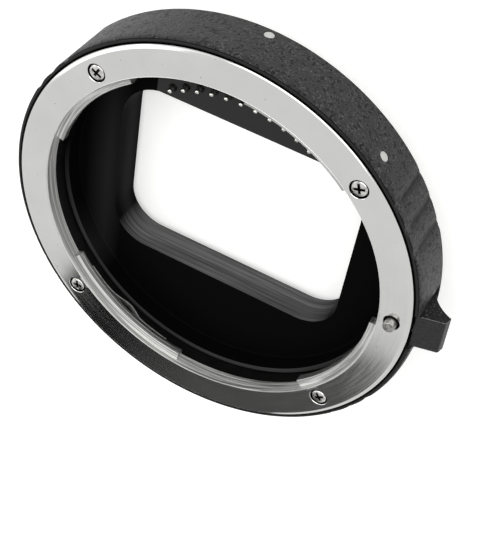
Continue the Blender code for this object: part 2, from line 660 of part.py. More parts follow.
# Sprung contact pins, each with its origin on its own sliding axis
def contact_pins():
    profile = [(0.0, PIN_TIP_Z)]
    for turn in (45.0, 90.0):
        profile.append((PIN_RADIUS * math.sin(math.radians(turn)),
                        PIN_TIP_Z - PIN_RADIUS * (1.0 - math.cos(math.radians(turn)))))
    profile += [(PIN_RADIUS, COLLAR_TOP_Z), (PIN_COLLAR_RADIUS, COLLAR_TOP_Z),
                (PIN_COLLAR_RADIUS, PIN_BOTTOM_Z), (0.0, PIN_BOTTOM_Z)]
    for index, angle in enumerate(contact_angles(), 1):
        pin = turned(f"contact_pin_{index:02d}", profile, GOLD, PIN_STEPS, closed=False)
        pin.location = (*polar(CONTACT_CIRCLE, angle), 0.0)


# The flexible circuit that joins the front pins to the rear pads
def flex_circuit():
    outline = chord_segment(WINDOW_LOW + CLEARANCE, TUNNEL_RADIUS - CLEARANCE,
                            WINDOW_HALF_WIDTH - CLEARANCE)
    return flat("flex_circuit", [outline], FLEX_TOP_Z - FLEX_THICKNESS, FLEX_TOP_Z, FLEX)


# The rear contact block, inside the rear bayonet, with its gold pads
def rear_contact_block():
    outline = chord_segment(WINDOW_LOW, TUNNEL_RADIUS, WINDOW_HALF_WIDTH)
    block = flat("rear_contact_block", [outline], REAR_BLOCK_END_GAP, REAR_BLOCK_TOP_Z,
                 BLACK_PLASTIC)
    seat = REAR_BLOCK_END_GAP + PAD_THICKNESS + PAD_GAP
    for index, angle in enumerate(contact_angles(), 1):
        add_boolean(block, rod(f"pad_seat_{index:02d}", PAD_RADIUS + PAD_GAP, -CUT_OVERRUN, seat,
                               polar(CONTACT_CIRCLE, angle), PIN_STEPS))
        profile = [(0.0, seat - PAD_GAP), (PAD_RADIUS, seat - PAD_GAP),
                   (PAD_RADIUS, REAR_BLOCK_END_GAP), (0.0, REAR_BLOCK_END_GAP)]
        pad = turned(f"rear_contact_pad_{index:02d}", profile, GOLD, PIN_STEPS, closed=False)
        pad.location = (*polar(CONTACT_CIRCLE, angle), 0.0)
    return block


# The rear ring: a flange, a short sleeve and four lugs outside it
def rear_bayonet_ring():
    ring = turned("rear_bayonet_ring", [
        (REAR_FLANGE_RADIUS, REAR_FLANGE_TOP_Z),
        (REAR_FLANGE_RADIUS, REAR_FACE_Z + REAR_RIM_CHAMFER),
        (REAR_FLANGE_RADIUS - REAR_RIM_CHAMFER, REAR_FACE_Z),
        (MALE_RADIUS, REAR_FACE_Z),
        (MALE_RADIUS, 0.0),
        (MALE_BORE_RADIUS, 0.0),
        (MALE_BORE_RADIUS, REAR_FLANGE_TOP_Z),
    ], CHROME)
    for index, (start, end) in enumerate(FRONT_LUGS, 1):
        root = MALE_RADIUS - MALE_WALL / 2
        outline = sector(root, MALE_LUG_RADIUS, start + MALE_LUG_TRIM, end - MALE_LUG_TRIM)
        lug = flat(f"rear_lug_{index}", [outline], MALE_LUG_END_GAP, MALE_LUG_TOP_Z, CHROME)
        add_boolean(ring, to_cutter(lug), 'UNION')
    for index, angle in enumerate(REAR_SCREW_ANGLES, 1):
        cut_screw_seat(ring, f"rear_seat_{index}", angle, REAR_FACE_Z, REAR_FLANGE_TOP_Z, -1)
    width = 2 * (LOCK_PIN_RADIUS + CLEARANCE)
    outline, low, high = tangential_box(
        SCREW_CIRCLE - width / 2, SCREW_CIRCLE + width / 2, width + LOCK_NOTCH_LENGTH,
        REAR_FACE_Z - CUT_OVERRUN, REAR_FLANGE_TOP_Z + CUT_OVERRUN, LOCK_PIN_ANGLE)
    add_boolean(ring, to_cutter(flat("lock_notch", [outline], low, high, CHROME)))
    return ring


# The empty on the slider's travel, which carries everything that moves with it
def slider_empty():
    empty = bpy.data.objects.new("slider_travel", None)
    empty.parent = AXIS
    x, y = polar(LIP_BORE_RADIUS, SLIDER_ANGLE)
    empty.location = (x, y, SLIDER_TOP_Z)
    empty.rotation_euler.z = math.radians(SLIDER_ANGLE)
    PARTS.objects.link(empty)
    return empty


# A section of (outward, height) points that is extruded to a width along the barrel's side
def extruded_section(name, section, width, parent):
    made = flat(name, [section], -width / 2, width / 2, SLIDER_PLASTIC, parent)
    made.rotation_euler = (math.pi / 2, 0.0, 0.0)
    made.location = (0.0, 0.0, 0.0)
    return made


# The thumb piece: a sloping front pad, a blunt tip and a hollow back, with a tongue inward
def release_slider(travel):
    wall = BARREL_RADIUS - LIP_BORE_RADIUS
    tip = Vector((wall + SLIDER_REACH, -SLIDER_TIP_DROP))
    heel = Vector((wall + SLIDER_HEEL, -SLIDER_LENGTH))
    edge = tip.x - SLIDER_TIP_INSET
    section = [(0.0, 0.0), (CLEARANCE, 0.0), (edge, -SLIDER_PAD_DROP),
               (edge + SLIDER_TIP_INSET / 2, -SLIDER_PAD_DROP * 1.25), tuple(tip)]
    back = (heel - tip).normalized()
    inward = Vector((back.y, -back.x))
    for step in range(1, HOLLOW_STEPS):
        share = step / HOLLOW_STEPS
        sag = SLIDER_HOLLOW * 4.0 * share * (1.0 - share)
        section.append(tuple(tip.lerp(heel, share) + inward * sag))
    section += [tuple(heel), (0.0, -SLIDER_LENGTH)]
    piece = extruded_section("release_slider", section, SLIDER_WIDTH, travel)
    high = TONGUE_TOP_Z - SLIDER_TOP_Z
    low = TONGUE_BOTTOM_Z - SLIDER_TOP_Z
    corners = [(-TONGUE_REACH, high), (-TONGUE_REACH, low), (CLEARANCE, low), (CLEARANCE, high)]
    tongue = extruded_section("slider_tongue", corners, TONGUE_WIDTH, travel)
    add_boolean(piece, to_cutter(tongue), 'UNION')
    add_boolean(piece, rivet_hole("tongue_rivet_hole", travel, low, high))
    return piece


def rivet_hole(name, travel, low, high):
    hole = rod(name, RIVET_RADIUS + CLEARANCE / 2, low - CUT_OVERRUN, high + CUT_OVERRUN,
               (-RIVET_INSET, -RIVET_SIDE), PIN_STEPS)
    hole.parent = travel
    return hole


# Where the lock pin stands in the slider's own frame
def lock_pin_place():
    x, y = polar(SCREW_CIRCLE, LOCK_PIN_ANGLE - SLIDER_ANGLE)
    return x - LIP_BORE_RADIUS, y


# The plate on the tongue, which carries the lock pin under the front ring
def carrier_plate(travel):
    inner = CARRIER_INNER_RADIUS - LIP_BORE_RADIUS
    outer = -CLEARANCE / 2
    half = TONGUE_WIDTH / 2
    low = CARRIER_BOTTOM_Z - SLIDER_TOP_Z
    high = CARRIER_TOP_Z - SLIDER_TOP_Z
    plate = flat("carrier_plate", [[(inner, -half), (outer, -half), (outer, half), (inner, half)]],
                 low, high, STEEL, travel)
    hole = rod("tail_hole", LOCK_PIN_TAIL_RADIUS + CLEARANCE, low - CUT_OVERRUN,
               high + CUT_OVERRUN, lock_pin_place())
    hole.parent = travel
    add_boolean(plate, hole)
    add_boolean(plate, rivet_hole("plate_rivet_hole", travel, low, high))
    return plate


# The rivet through the carrier plate and the tongue
def carrier_rivet(travel):
    top = RIVET_TOP_Z - SLIDER_TOP_Z
    under = CARRIER_TOP_Z + CLEARANCE / 2 - SLIDER_TOP_Z
    foot = TONGUE_BOTTOM_Z - CLEARANCE / 2 - SLIDER_TOP_Z
    rivet = turned("carrier_rivet", [
        (0.0, top - CLEARANCE / 2), (RIVET_HEAD_RADIUS, top - CLEARANCE / 2),
        (RIVET_HEAD_RADIUS, under), (RIVET_RADIUS, under), (RIVET_RADIUS, foot),
        (RIVET_HEAD_RADIUS, foot), (RIVET_HEAD_RADIUS, foot - RIVET_HEAD_HEIGHT),
        (0.0, foot - RIVET_HEAD_HEIGHT),
    ], STEEL, PIN_STEPS, travel, closed=False)
    rivet.location = (-RIVET_INSET, -RIVET_SIDE, 0.0)
    return rivet


# The lock pin, which passes through the front ring, with its tail in the carrier plate
def lock_pin(travel):
    top = FRONT_FACE_Z + LOCK_PIN_STAND - SLIDER_TOP_Z
    shoulder = CARRIER_TOP_Z + CLEARANCE - SLIDER_TOP_Z
    end = CARRIER_BOTTOM_Z - LOCK_PIN_TAIL_LENGTH - SLIDER_TOP_Z
    edge = LOCK_PIN_RADIUS / 4
    pin = turned("lock_pin", [
        (0.0, top), (LOCK_PIN_RADIUS - edge, top), (LOCK_PIN_RADIUS, top - edge),
        (LOCK_PIN_RADIUS, shoulder), (LOCK_PIN_TAIL_RADIUS, shoulder),
        (LOCK_PIN_TAIL_RADIUS, end), (0.0, end),
    ], STEEL, SMALL_STEPS, travel, closed=False)
    pin.location = (*lock_pin_place(), 0.0)
    return pin


# The coil under the carrier plate, which presses the slider toward the front ring
def slider_spring():
    low = POCKET_FLOOR_Z + CLEARANCE + COIL_WIRE_RADIUS
    high = CARRIER_BOTTOM_Z - CLEARANCE - COIL_WIRE_RADIUS
    curve = bpy.data.curves.new("slider_spring", 'CURVE')
    curve.dimensions = '3D'
    curve.bevel_depth = COIL_WIRE_RADIUS
    curve.bevel_resolution = 2
    curve.use_fill_caps = True
    spline = curve.splines.new('POLY')
    count = round(COIL_TURNS * COIL_STEPS)
    spline.points.add(count)
    for i, point in enumerate(spline.points):
        turn = math.tau * COIL_TURNS * i / count
        point.co = (COIL_RADIUS * math.cos(turn), COIL_RADIUS * math.sin(turn),
                    (high - low) * i / count, 1.0)
    coil = add_object("slider_spring", curve, STEEL)
    coil.location = (*polar(SCREW_CIRCLE, LOCK_PIN_ANGLE), low)
    return baked(coil)


# The eight screws that hold the two rings to the barrel
def ring_screws():
    for index, angle in enumerate(FRONT_SCREW_ANGLES, 1):
        ring_screw(f"front_screw_{index}", angle, FRONT_FACE_Z,
                   FRONT_FACE_Z - FRONT_RING_THICKNESS, 1)
    for index, angle in enumerate(REAR_SCREW_ANGLES, 1):
        ring_screw(f"rear_screw_{index}", angle, REAR_FACE_Z, REAR_FLANGE_TOP_Z, -1)


for make in (front_bayonet_ring, ring_screws, barrel, index_dots, leaf_springs, light_baffle,
             front_contact_block, contact_pins, flex_circuit, rear_contact_block,
             rear_bayonet_ring, slider_spring):
    make()
TRAVEL = slider_empty()
for make in (release_slider, carrier_plate, carrier_rivet, lock_pin):
    make(TRAVEL)
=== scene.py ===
import json
import math

import bmesh
import bpy
from mathutils import Matrix, Vector


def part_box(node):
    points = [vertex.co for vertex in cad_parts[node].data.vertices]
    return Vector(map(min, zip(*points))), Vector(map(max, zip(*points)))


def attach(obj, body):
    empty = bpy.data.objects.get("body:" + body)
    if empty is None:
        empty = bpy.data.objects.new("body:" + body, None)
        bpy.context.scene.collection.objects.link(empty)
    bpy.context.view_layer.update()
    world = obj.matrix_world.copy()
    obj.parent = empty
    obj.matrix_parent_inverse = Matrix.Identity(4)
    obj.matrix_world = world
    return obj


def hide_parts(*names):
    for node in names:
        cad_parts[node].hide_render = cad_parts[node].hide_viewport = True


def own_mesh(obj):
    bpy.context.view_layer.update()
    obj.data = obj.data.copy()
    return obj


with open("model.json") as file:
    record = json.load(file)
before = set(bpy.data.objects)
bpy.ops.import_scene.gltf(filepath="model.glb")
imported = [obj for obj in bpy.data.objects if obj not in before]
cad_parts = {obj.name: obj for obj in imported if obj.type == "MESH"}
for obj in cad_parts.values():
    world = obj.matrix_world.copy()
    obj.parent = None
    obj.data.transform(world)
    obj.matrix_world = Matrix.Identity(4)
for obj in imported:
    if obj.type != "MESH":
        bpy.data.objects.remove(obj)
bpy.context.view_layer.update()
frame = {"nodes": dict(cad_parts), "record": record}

mm = 0.001
ringLow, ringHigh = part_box("front_bayonet_ring")
axisX = (ringLow.x + ringHigh.x) / 2  # the optical axis stands beside the origin
flange = ringHigh.z / mm  # heights below are in mm from the table
scene = bpy.context.scene


# colours and materials

def linearColor(hexText):
    values = []
    for i in (1, 3, 5):
        value = int(hexText[i:i + 2], 16) / 255
        values.append(value / 12.92 if value <= 0.04045 else ((value + 0.055) / 1.055) ** 2.4)
    return (*values, 1.0)


def addNode(tree, kind, links=None, **settings):
    # links gives each input a plain value, a socket, or a node whose first live output is meant
    node = tree.nodes.new(kind)
    for key, value in settings.items():
        setattr(node, key, value)
    for socket, value in (links or {}).items():
        if isinstance(value, bpy.types.Node):
            value = next(output for output in value.outputs if output.enabled)
        if isinstance(value, bpy.types.NodeSocket):
            tree.links.new(value, node.inputs[socket])
        else:
            node.inputs[socket].default_value = value
    return node


def startMaterial(name, roughness, metallic=0.0, sheen=0.5):
    # sheen is how strongly a non-metal mirrors its surroundings
    made = bpy.data.materials.new(name)
    made.use_nodes = True
    tree = made.node_tree
    shader = tree.nodes["Principled BSDF"]
    for socket, value in (("Roughness", roughness), ("Metallic", metallic),
                          ("Specular IOR Level", sheen)):
        shader.inputs[socket].default_value = value
    return made, tree, shader


def centredCoords(tree):
    # object coordinates in mm, measured from the optical axis
    coords = addNode(tree, "ShaderNodeTexCoord")
    return addNode(tree, "ShaderNodeMapping", {
        "Vector": coords.outputs["Object"], "Location": (-axisX / mm, 0.0, 0.0),
        "Scale": (1 / mm, 1 / mm, 1 / mm)})


def turnedCoords(tree, drift):
    # (radius, height, drift) in mm: noise on it runs round the part as a lathe tool does, and
    # the drift across the part ends each line without a seam
    flat = addNode(tree, "ShaderNodeVectorMath", {
        0: centredCoords(tree), 1: (1.0, 1.0, 0.0)}, operation='MULTIPLY')
    radius = addNode(tree, "ShaderNodeVectorMath", {0: flat}, operation='LENGTH')
    slow = addNode(tree, "ShaderNodeVectorMath", {
        0: flat, 1: (0.8 * drift, 0.6 * drift, 0.0)}, operation='DOT_PRODUCT')
    parts = addNode(tree, "ShaderNodeSeparateXYZ", {0: centredCoords(tree)})
    return addNode(tree, "ShaderNodeCombineXYZ", {0: radius, 1: parts.outputs[2], 2: slow})


def maskWhere(tree, *limits):
    # 1 where every value is past its second number, 0 before its first
    mask = 1.0
    for value, start, stop in limits:
        step = addNode(tree, "ShaderNodeMapRange", {
            "Value": value, "From Min": start, "From Max": stop})
        mask = addNode(tree, "ShaderNodeMath", {0: mask, 1: step}, operation='MULTIPLY')
    return mask


def addNodeTo(tree, node, shader, socket):
    output = next(output for output in node.outputs if output.enabled)
    tree.links.new(output, shader.inputs[socket])


def layTones(tree, shader, base, *layers):
    # each layer is a color and the limits inside which it covers the layers below it
    tone = linearColor(base)
    for color, *limits in layers:
        tone = addNode(tree, "ShaderNodeMix", {
            "Factor": maskWhere(tree, *limits), "A": tone, "B": linearColor(color)},
            data_type='RGBA')
    addNodeTo(tree, tone, shader, "Base Color")


chromeLook = {
    "color": "#D0D0CE",
    "shade": "#C4C4C3",
    "speck": "#8F8F8D",
    "boreColor": "#DADAD8",
    "boreLine": "#9C9C9A",
    "seatShade": "#222221",  # painted shade in the screw seats
    "roughness": (0.09, 0.15),
    "cloudSize": 6.0,  # mm between the clouds that handling leaves
    "speckSize": 0.55,  # mm
    "toolMark": 0.26,  # mm between turning lines, three times the real feed so that they show
    "markHeight": 0.0007,  # mm
    "boreMark": 0.42,  # mm between bore lines, drawn coarser for the same reason
    "boreEdge": 28.80,  # mm, inside this radius lie the bore and the lugs
    "boreRange": (27.7, 28.6),  # mm, from the lugs' tips to the bore between them
    "boreRoughness": (0.36, 0.62),  # at both ends of that range
    "boreHeight": (0.075, 0.20),  # mm, the same
    "seats": (29.35, 32.65),  # mm from the axis
    "seatHeights": ((flange - 0.10, flange - 0.16), (4.50, 4.56)),  # between both faces
}


def turnedChrome():
    # brass ring, turned on a lathe, then satin chrome plated: a soft mirror on the face, with
    # faint turning lines, handling clouds and dull specks, bright coarse lines in the bore, and
    # painted shade inside the screw seats
    look = chromeLook
    made, tree, shader = startMaterial("turnedSatinChrome", 0.2, 1.0)
    flat = centredCoords(tree)
    turned = turnedCoords(tree, 0.04)
    radius, height = addNode(tree, "ShaderNodeSeparateXYZ", {0: turned}).outputs[:2]
    lines, grooves, cloud, dust = [addNode(tree, "ShaderNodeTexNoise", {
        "Vector": place, "Scale": 1 / look[size], "Detail": detail, "Roughness": rough})
        for place, size, detail, rough in (
            (turned, "toolMark", 2.0, 0.5), (turned, "boreMark", 3.0, 0.55),
            (flat, "cloudSize", 4.0, 0.5), (flat, "speckSize", 1.0, 0.5))]
    inBore = (radius, look["boreEdge"] + 0.04, look["boreEdge"] - 0.04)
    inner, outer = look["seats"]
    layTones(tree, shader, look["shade"], (look["color"], (cloud, 0.0, 1.0)),
             (look["speck"], (dust, 0.74, 0.84)), (look["boreColor"], inBore),
             (look["boreLine"], inBore, (grooves, 0.55, 0.40)),
             # painted shade inside the seats and holes sunk into both faces
             (look["seatShade"], (radius, inner - 0.05, inner + 0.05),
              (radius, outer + 0.05, outer - 0.05),
              *[(height, *limit) for limit in look["seatHeights"]]))
    gloss = addNode(tree, "ShaderNodeMapRange", {
        "Value": lines, "From Min": 0.3, "From Max": 0.7,
        "To Min": look["roughness"][0], "To Max": look["roughness"][1]})
    low, high = look["boreRange"]
    dull, depth = [addNode(tree, "ShaderNodeMapRange", {
        "Value": radius, "From Min": low, "From Max": high, "To Min": start, "To Max": stop})
        for start, stop in (look["boreRoughness"], look["boreHeight"])]
    fine = addNode(tree, "ShaderNodeMath", {0: lines, 1: look["markHeight"]}, operation='MULTIPLY')
    deep = addNode(tree, "ShaderNodeMath", {0: grooves, 1: depth}, operation='MULTIPLY')
    bore = maskWhere(tree, inBore)
    rough, relief = [addNode(tree, "ShaderNodeMix", {"Factor": bore, "A": face, "B": inside},
                             data_type='FLOAT')
                     for face, inside in ((gloss, dull), (fine, deep))]
    addNodeTo(tree, rough, shader, "Roughness")
    addNodeTo(tree, addNode(tree, "ShaderNodeBump", {"Height": relief, "Distance": mm}), shader,
              "Normal")
    return made


paintLook = {
    "color": "#212123",
    "fleck": "#525253",
    # colour of the dark pits, also used for the painted shade in the grip valleys
    "pitAndValleyShade": "#050505",
    "lipColor": "#141414",
    "roughness": (0.40, 0.58),
    "sheen": 0.22,
    "grain": 0.30,  # mm between paint grains, about twice the real size so that they show
    "grainHeight": 0.06,  # mm
    "pitSize": 0.55,  # mm between the larger pits
    "patchSize": 1.1,  # mm between the patches that have more flecks
    "lipEdge": 34.46,  # mm, the paint is smooth inside this radius
    "lipStart": (flange - 1.0, flange - 0.8),  # mm
    "valleyShadeRadii": (34.50, 34.36),  # mm, painted shade darkens the grip valleys between these radii
    "valleyShadeEnds": ((13.3, 12.9), (6.0, 6.4)),  # mm, heights
}


def grainPaint():
    # barrel sprayed with a fine-grained black: a matt skin with small pale flecks and dark pits,
    # painted shade in the grip valleys, and a smooth black lip inside the groove
    look = paintLook
    made, tree, shader = startMaterial("fineGrainBlackPaint", 0.5, sheen=look["sheen"])
    coords = centredCoords(tree)
    radius, height = addNode(tree, "ShaderNodeSeparateXYZ", {
        0: turnedCoords(tree, 0.04)}).outputs[:2]
    grain, cloud, spots = [addNode(tree, "ShaderNodeTexNoise", {
        "Vector": coords, "Scale": 1 / look[size], "Detail": detail, "Roughness": rough})
        for size, detail, rough in (
            ("grain", 2.5, 0.65), ("patchSize", 2.0, 0.5), ("pitSize", 1.5, 0.5))]
    low, high = look["lipEdge"] - 0.01, look["lipEdge"] + 0.01
    skin = maskWhere(tree, (radius, low, high))
    deepSpots = (spots, 0.57, 0.62)
    layTones(tree, shader, look["color"],
             (look["fleck"], (grain, 0.48, 0.68), (cloud, 0.34, 0.56)), (look["pitAndValleyShade"], deepSpots),
             # painted shade in the grip valleys, in the colour of the pits
             (look["pitAndValleyShade"], (radius, *look["valleyShadeRadii"]),
              *[(height, *limit) for limit in look["valleyShadeEnds"]]),
             (look["lipColor"], (radius, high, low), (height, *look["lipStart"])))
    gloss = addNode(tree, "ShaderNodeMapRange", {
        "Value": cloud, "From Min": 0.3, "From Max": 0.7,
        "To Min": look["roughness"][0], "To Max": look["roughness"][1]})
    addNodeTo(tree, gloss, shader, "Roughness")
    raised = addNode(tree, "ShaderNodeMath", {0: grain, 1: maskWhere(tree, deepSpots)},
                     operation='SUBTRACT')
    relief = addNode(tree, "ShaderNodeMath", {0: raised, 1: skin}, operation='MULTIPLY')
    addNodeTo(tree, addNode(tree, "ShaderNodeBump", {
        "Height": relief, "Distance": look["grainHeight"] * mm}), shader, "Normal")
    return made


baffleLook = {
    "color": "#030303",
    "fibre": "#080808",
    "fibreSize": 0.35,  # mm, drawn coarser than real flock so that it shows
    "paintedSheen": "#1C1C1C",  # painted sheen on the flock beside the gate
    "paintedSheenBand": ((-26.5, -22.5), (-19.0, -22.0)),  # mm from the axis
    # painted light on a band of the tunnel walls
    "sideWallLight": "#1C1C1C",
    "sideLightBand": ((6.4, 4.4), (1.9, 3.4)),  # mm, heights of the band of painted light in the tunnel
    # painted light on the tunnel's lower wall, with painted reflection streaks
    "wall": "#3E3E3E",
    "wallStreak": "#686868",
    # painted highlight on the cup's rim
    "rim": "#383838",
    "rimHeight": 10.42,  # mm
    "rimHighlightPart": (4.0, -14.0),  # mm, the painted highlight on the rim is stronger toward the lower end
    "roughness": 0.62,
    "sheen": 0.02,
    "floor": 7.38,  # mm, the tunnel's smooth wall begins below this height
    "litLowWall": (-11.0, -13.9),  # mm, painted light brightens the tunnel round its lower corners
}


def baffleBlack():
    # light trap: dead black flock in the cup, with a painted sheen beside the gate; smooth tunnel
    # walls painted paler with light on a band and on the lower wall, painted reflection streaks
    # along it, and a painted highlight on the rim
    look = baffleLook
    made, tree, shader = startMaterial("lightTrapBlackAbs", look["roughness"], sheen=look["sheen"])
    coords = centredCoords(tree)
    across, along, height = addNode(tree, "ShaderNodeSeparateXYZ", {0: coords}).outputs
    fibre = addNode(tree, "ShaderNodeTexNoise", {
        "Vector": coords, "Scale": 1 / look["fibreSize"], "Detail": 3.0, "Roughness": 0.6})
    streaky = addNode(tree, "ShaderNodeMapping", {"Vector": coords, "Scale": (0.05, 0.05, 1.6)})
    streak = addNode(tree, "ShaderNodeTexNoise", {
        "Vector": streaky, "Scale": 1.0, "Detail": 3.0, "Roughness": 0.6})
    tunnel = (height, look["floor"], look["floor"] - 0.08)
    litLowWall = (along, *look["litLowWall"])
    layTones(tree, shader, look["color"], (look["fibre"], (fibre, 0.0, 1.0)),
             # painted sheen on the flock beside the gate
             (look["paintedSheen"], *[(across, *limit) for limit in look["paintedSheenBand"]]),
             (look["color"], tunnel),
             # painted light on a band of the tunnel walls
             (look["sideWallLight"], *[(height, *limit) for limit in look["sideLightBand"]]),
             # painted light and painted reflection streaks on the tunnel's lower wall
             (look["wall"], tunnel, litLowWall),
             (look["wallStreak"], tunnel, litLowWall, (streak, 0.35, 0.65)),
             # painted highlight on the cup's rim
             (look["rim"], (height, look["rimHeight"], look["rimHeight"] + 0.04),
              (along, *look["rimHighlightPart"])))
    addNodeTo(tree, addNode(tree, "ShaderNodeBump", {
        "Height": fibre, "Distance": 0.02 * mm, "Strength": 0.6}), shader, "Normal")
    return made


def mouldedPlastic(name, color, lighter, roughness, grain, grainHeight, sheen=0.5):
    # injection-moulded plastic: an even dull sheen over the fine spark texture of the mould
    made, tree, shader = startMaterial(name, roughness, sheen=sheen)
    spark = addNode(tree, "ShaderNodeTexNoise", {
        "Vector": centredCoords(tree), "Scale": 1 / grain, "Detail": 3.0, "Roughness": 0.6})
    layTones(tree, shader, color, (lighter, (spark, 0.30, 0.70)))
    gloss = addNode(tree, "ShaderNodeMapRange", {
        "Value": spark, "To Min": roughness - 0.08, "To Max": roughness + 0.08})
    addNodeTo(tree, gloss, shader, "Roughness")
    addNodeTo(tree, addNode(tree, "ShaderNodeBump", {
        "Height": spark, "Distance": grainHeight * mm, "Strength": 0.8}), shader, "Normal")
    return made


sliderLook = {
    "color": "#1D1D1E",
    "sheenSpot": "#2E2E2F",
    "flank": "#060606",
    "speck": "#484849",
    "edge": "#77777A",  # painted highlight along the pad's corners
    "edgeHighlightWidth": 0.11,  # mm
    "grain": 0.34,  # mm between the marks of the texture, drawn coarser so that they show
    "angle": 3.0,
    "halfWidth": 3.1,  # mm
    "outside": (34.7, 34.9),  # mm, the painted highlight only reaches what stands out of the barrel
}


def sliderPlastic():
    # slider moulded in black ABS: satin pad, coarser spark texture on its flanks, painted
    # highlights on its corners
    look = sliderLook
    made, tree, shader = startMaterial("satinBlackAbs", 0.42, sheen=0.16)
    coords = addNode(tree, "ShaderNodeMapping", {
        "Vector": centredCoords(tree), "Rotation": (0.0, 0.0, -math.radians(look["angle"]))})
    reach, along = addNode(tree, "ShaderNodeSeparateXYZ", {0: coords}).outputs[:2]
    side = addNode(tree, "ShaderNodeMath", {0: along}, operation='ABSOLUTE')
    spark = addNode(tree, "ShaderNodeTexNoise", {
        "Vector": coords, "Scale": 1 / look["grain"], "Detail": 3.0, "Roughness": 0.6})
    outer = look["halfWidth"]
    inner = outer - look["edgeHighlightWidth"]
    flank = (side, outer - 0.03, outer - 0.01)
    layTones(tree, shader, look["color"],
             (look["sheenSpot"], (spark, 0.30, 0.70)),
             # painted highlight along the pad's corners
             (look["edge"], (side, inner, inner + 0.03), (spark, 0.30, 0.42),
              (reach, *look["outside"])),
             (look["flank"], flank), (look["speck"], flank, (spark, 0.55, 0.66)))
    addNodeTo(tree, addNode(tree, "ShaderNodeBump", {
        "Height": spark, "Distance": 0.012 * mm, "Strength": 0.8}), shader, "Normal")
    return made


def platedMetal(name, color, darker, roughness, scratch, recess=None):
    # small drawn or stamped metal part: bright, with fine rubbed marks; a recess gets painted
    # shade
    made, tree, shader = startMaterial(name, roughness, 1.0)
    coords = centredCoords(tree)
    rub = addNode(tree, "ShaderNodeTexNoise", {
        "Vector": coords, "Scale": 1 / scratch, "Detail": 4.0, "Distortion": 0.6})
    layers = [(color, (rub, 0.35, 0.65))]
    if recess:
        height = addNode(tree, "ShaderNodeSeparateXYZ", {0: coords}).outputs[2]
        # painted shade in the recess
        layers.append(("#1A1917", *[(height, *limit) for limit in recess]))
    layTones(tree, shader, darker, *layers)
    gloss = addNode(tree, "ShaderNodeMapRange", {
        "Value": rub, "To Min": roughness - 0.07, "To Max": roughness + 0.10})
    addNodeTo(tree, gloss, shader, "Roughness")
    addNodeTo(tree, addNode(tree, "ShaderNodeBump", {
        "Height": rub, "Distance": 0.002 * mm}), shader, "Normal")
    return made


screwRecessShade = ((flange - 0.16, flange - 0.24), (4.60, 4.68))  # mm, heights of the painted shade in the cross recesses of both rings' screws
finishes = {
    "chromed_brass": turnedChrome(),
    "textured_black_paint": grainPaint(),
    "matt_black_abs": baffleBlack(),
    "slider_black_abs": sliderPlastic(),
    "spring_steel": platedMetal("brightSpringSteel", "#E2E2E0", "#B8B8B6", 0.45, 0.8),
    "nickel_plated_screw": platedMetal("nickelPlatedSteel", "#D2D1CD", "#A8A7A4", 0.22, 0.6,
                                       screwRecessShade),
    "gold_plating": platedMetal("hardGoldPlate", "#E3BE6A", "#C79C48", 0.24, 0.5),
    "polyimide_flex": mouldedPlastic("amberPolyimideFilm", "#8A4B12", "#9B5A1C", 0.34, 1.6,
                                     0.002),
    "white_paint": mouldedPlastic("paleIndexPaint", "#B0B0AE", "#C2C2C0", 0.50, 0.40, 0.006),
}
blockPlastic = mouldedPlastic("satinContactBlockAbs", "#111111", "#1B1B1B", 0.50, 0.30, 0.006,
                              0.3)
silverPlate = platedMetal("palePlatedContact", "#D6D5D0", "#B9B8B3", 0.22, 0.3)
pinSteel = platedMetal("groundPinSteel", "#A9A8A5", "#6F6E6B", 0.30, 0.35)
print("materials ready")


# mesh helpers, sizes in mm

def polar(radius, degrees):
    turn = math.radians(degrees)
    return radius * math.cos(turn), radius * math.sin(turn)


def arcPoints(radius, start, end, step=1.5):
    count = max(2, math.ceil(abs(end - start) / step))
    return [polar(radius, start + (end - start) * i / count) for i in range(count + 1)]


def rounded(corners, closed=True, segments=4):
    # corners are (across, along, fillet); each fillet becomes a short curve
    points = []
    last = len(corners)
    for i, (x, y, fillet) in enumerate(corners):
        here = Vector((x, y))
        if not fillet or (not closed and i in (0, last - 1)):
            points.append((x, y))
            continue
        before = here + (Vector(corners[i - 1][:2]) - here).normalized() * fillet
        after = here + (Vector(corners[(i + 1) % last][:2]) - here).normalized() * fillet
        for j in range(segments + 1):
            t = j / segments
            point = before * (1 - t) ** 2 + here * 2 * t * (1 - t) + after * t ** 2
            points.append(tuple(point))
    return points


def meshFrom(points, faces):
    shape = bmesh.new()
    made = [shape.verts.new((x * mm, y * mm, z * mm)) for x, y, z in points]
    for face in faces:
        shape.faces.new([made[i] for i in face])
    bmesh.ops.remove_doubles(shape, verts=shape.verts, dist=1e-7)
    bmesh.ops.recalc_face_normals(shape, faces=shape.faces)
    mesh = bpy.data.meshes.new("shape")
    shape.to_mesh(mesh)
    shape.free()
    return mesh


def swept(section, start=0.0, end=360.0, steps=360, closed=True, lift=None):
    # turn a section of (radius, height) about the optical axis; a part turn gets flat ends
    full = abs(end - start) >= 360.0
    rows = steps if full else steps + 1
    count = len(section)
    points = []
    for i in range(rows):
        share = i / steps
        for radius, height in section:
            x, y = polar(radius, start + (end - start) * share)
            points.append((x, y, height + (lift(share) if lift else 0.0)))
    faces = []
    spans = count if closed else count - 1
    for i in range(steps):
        a = i * count
        b = ((i + 1) % rows) * count
        for j in range(spans):
            k = (j + 1) % count
            corners = [a + j, a + k, b + k, b + j]
            if not closed and section[j][0] == 0.0:
                corners = [a + j, a + k, b + k]
            elif not closed and section[k][0] == 0.0:
                corners = [a + j, a + k, b + j]
            faces.append(corners)
    if not full:
        faces.append(list(range(count)))
        faces.append(list(range((rows - 1) * count, rows * count)))
    return meshFrom(points, faces)


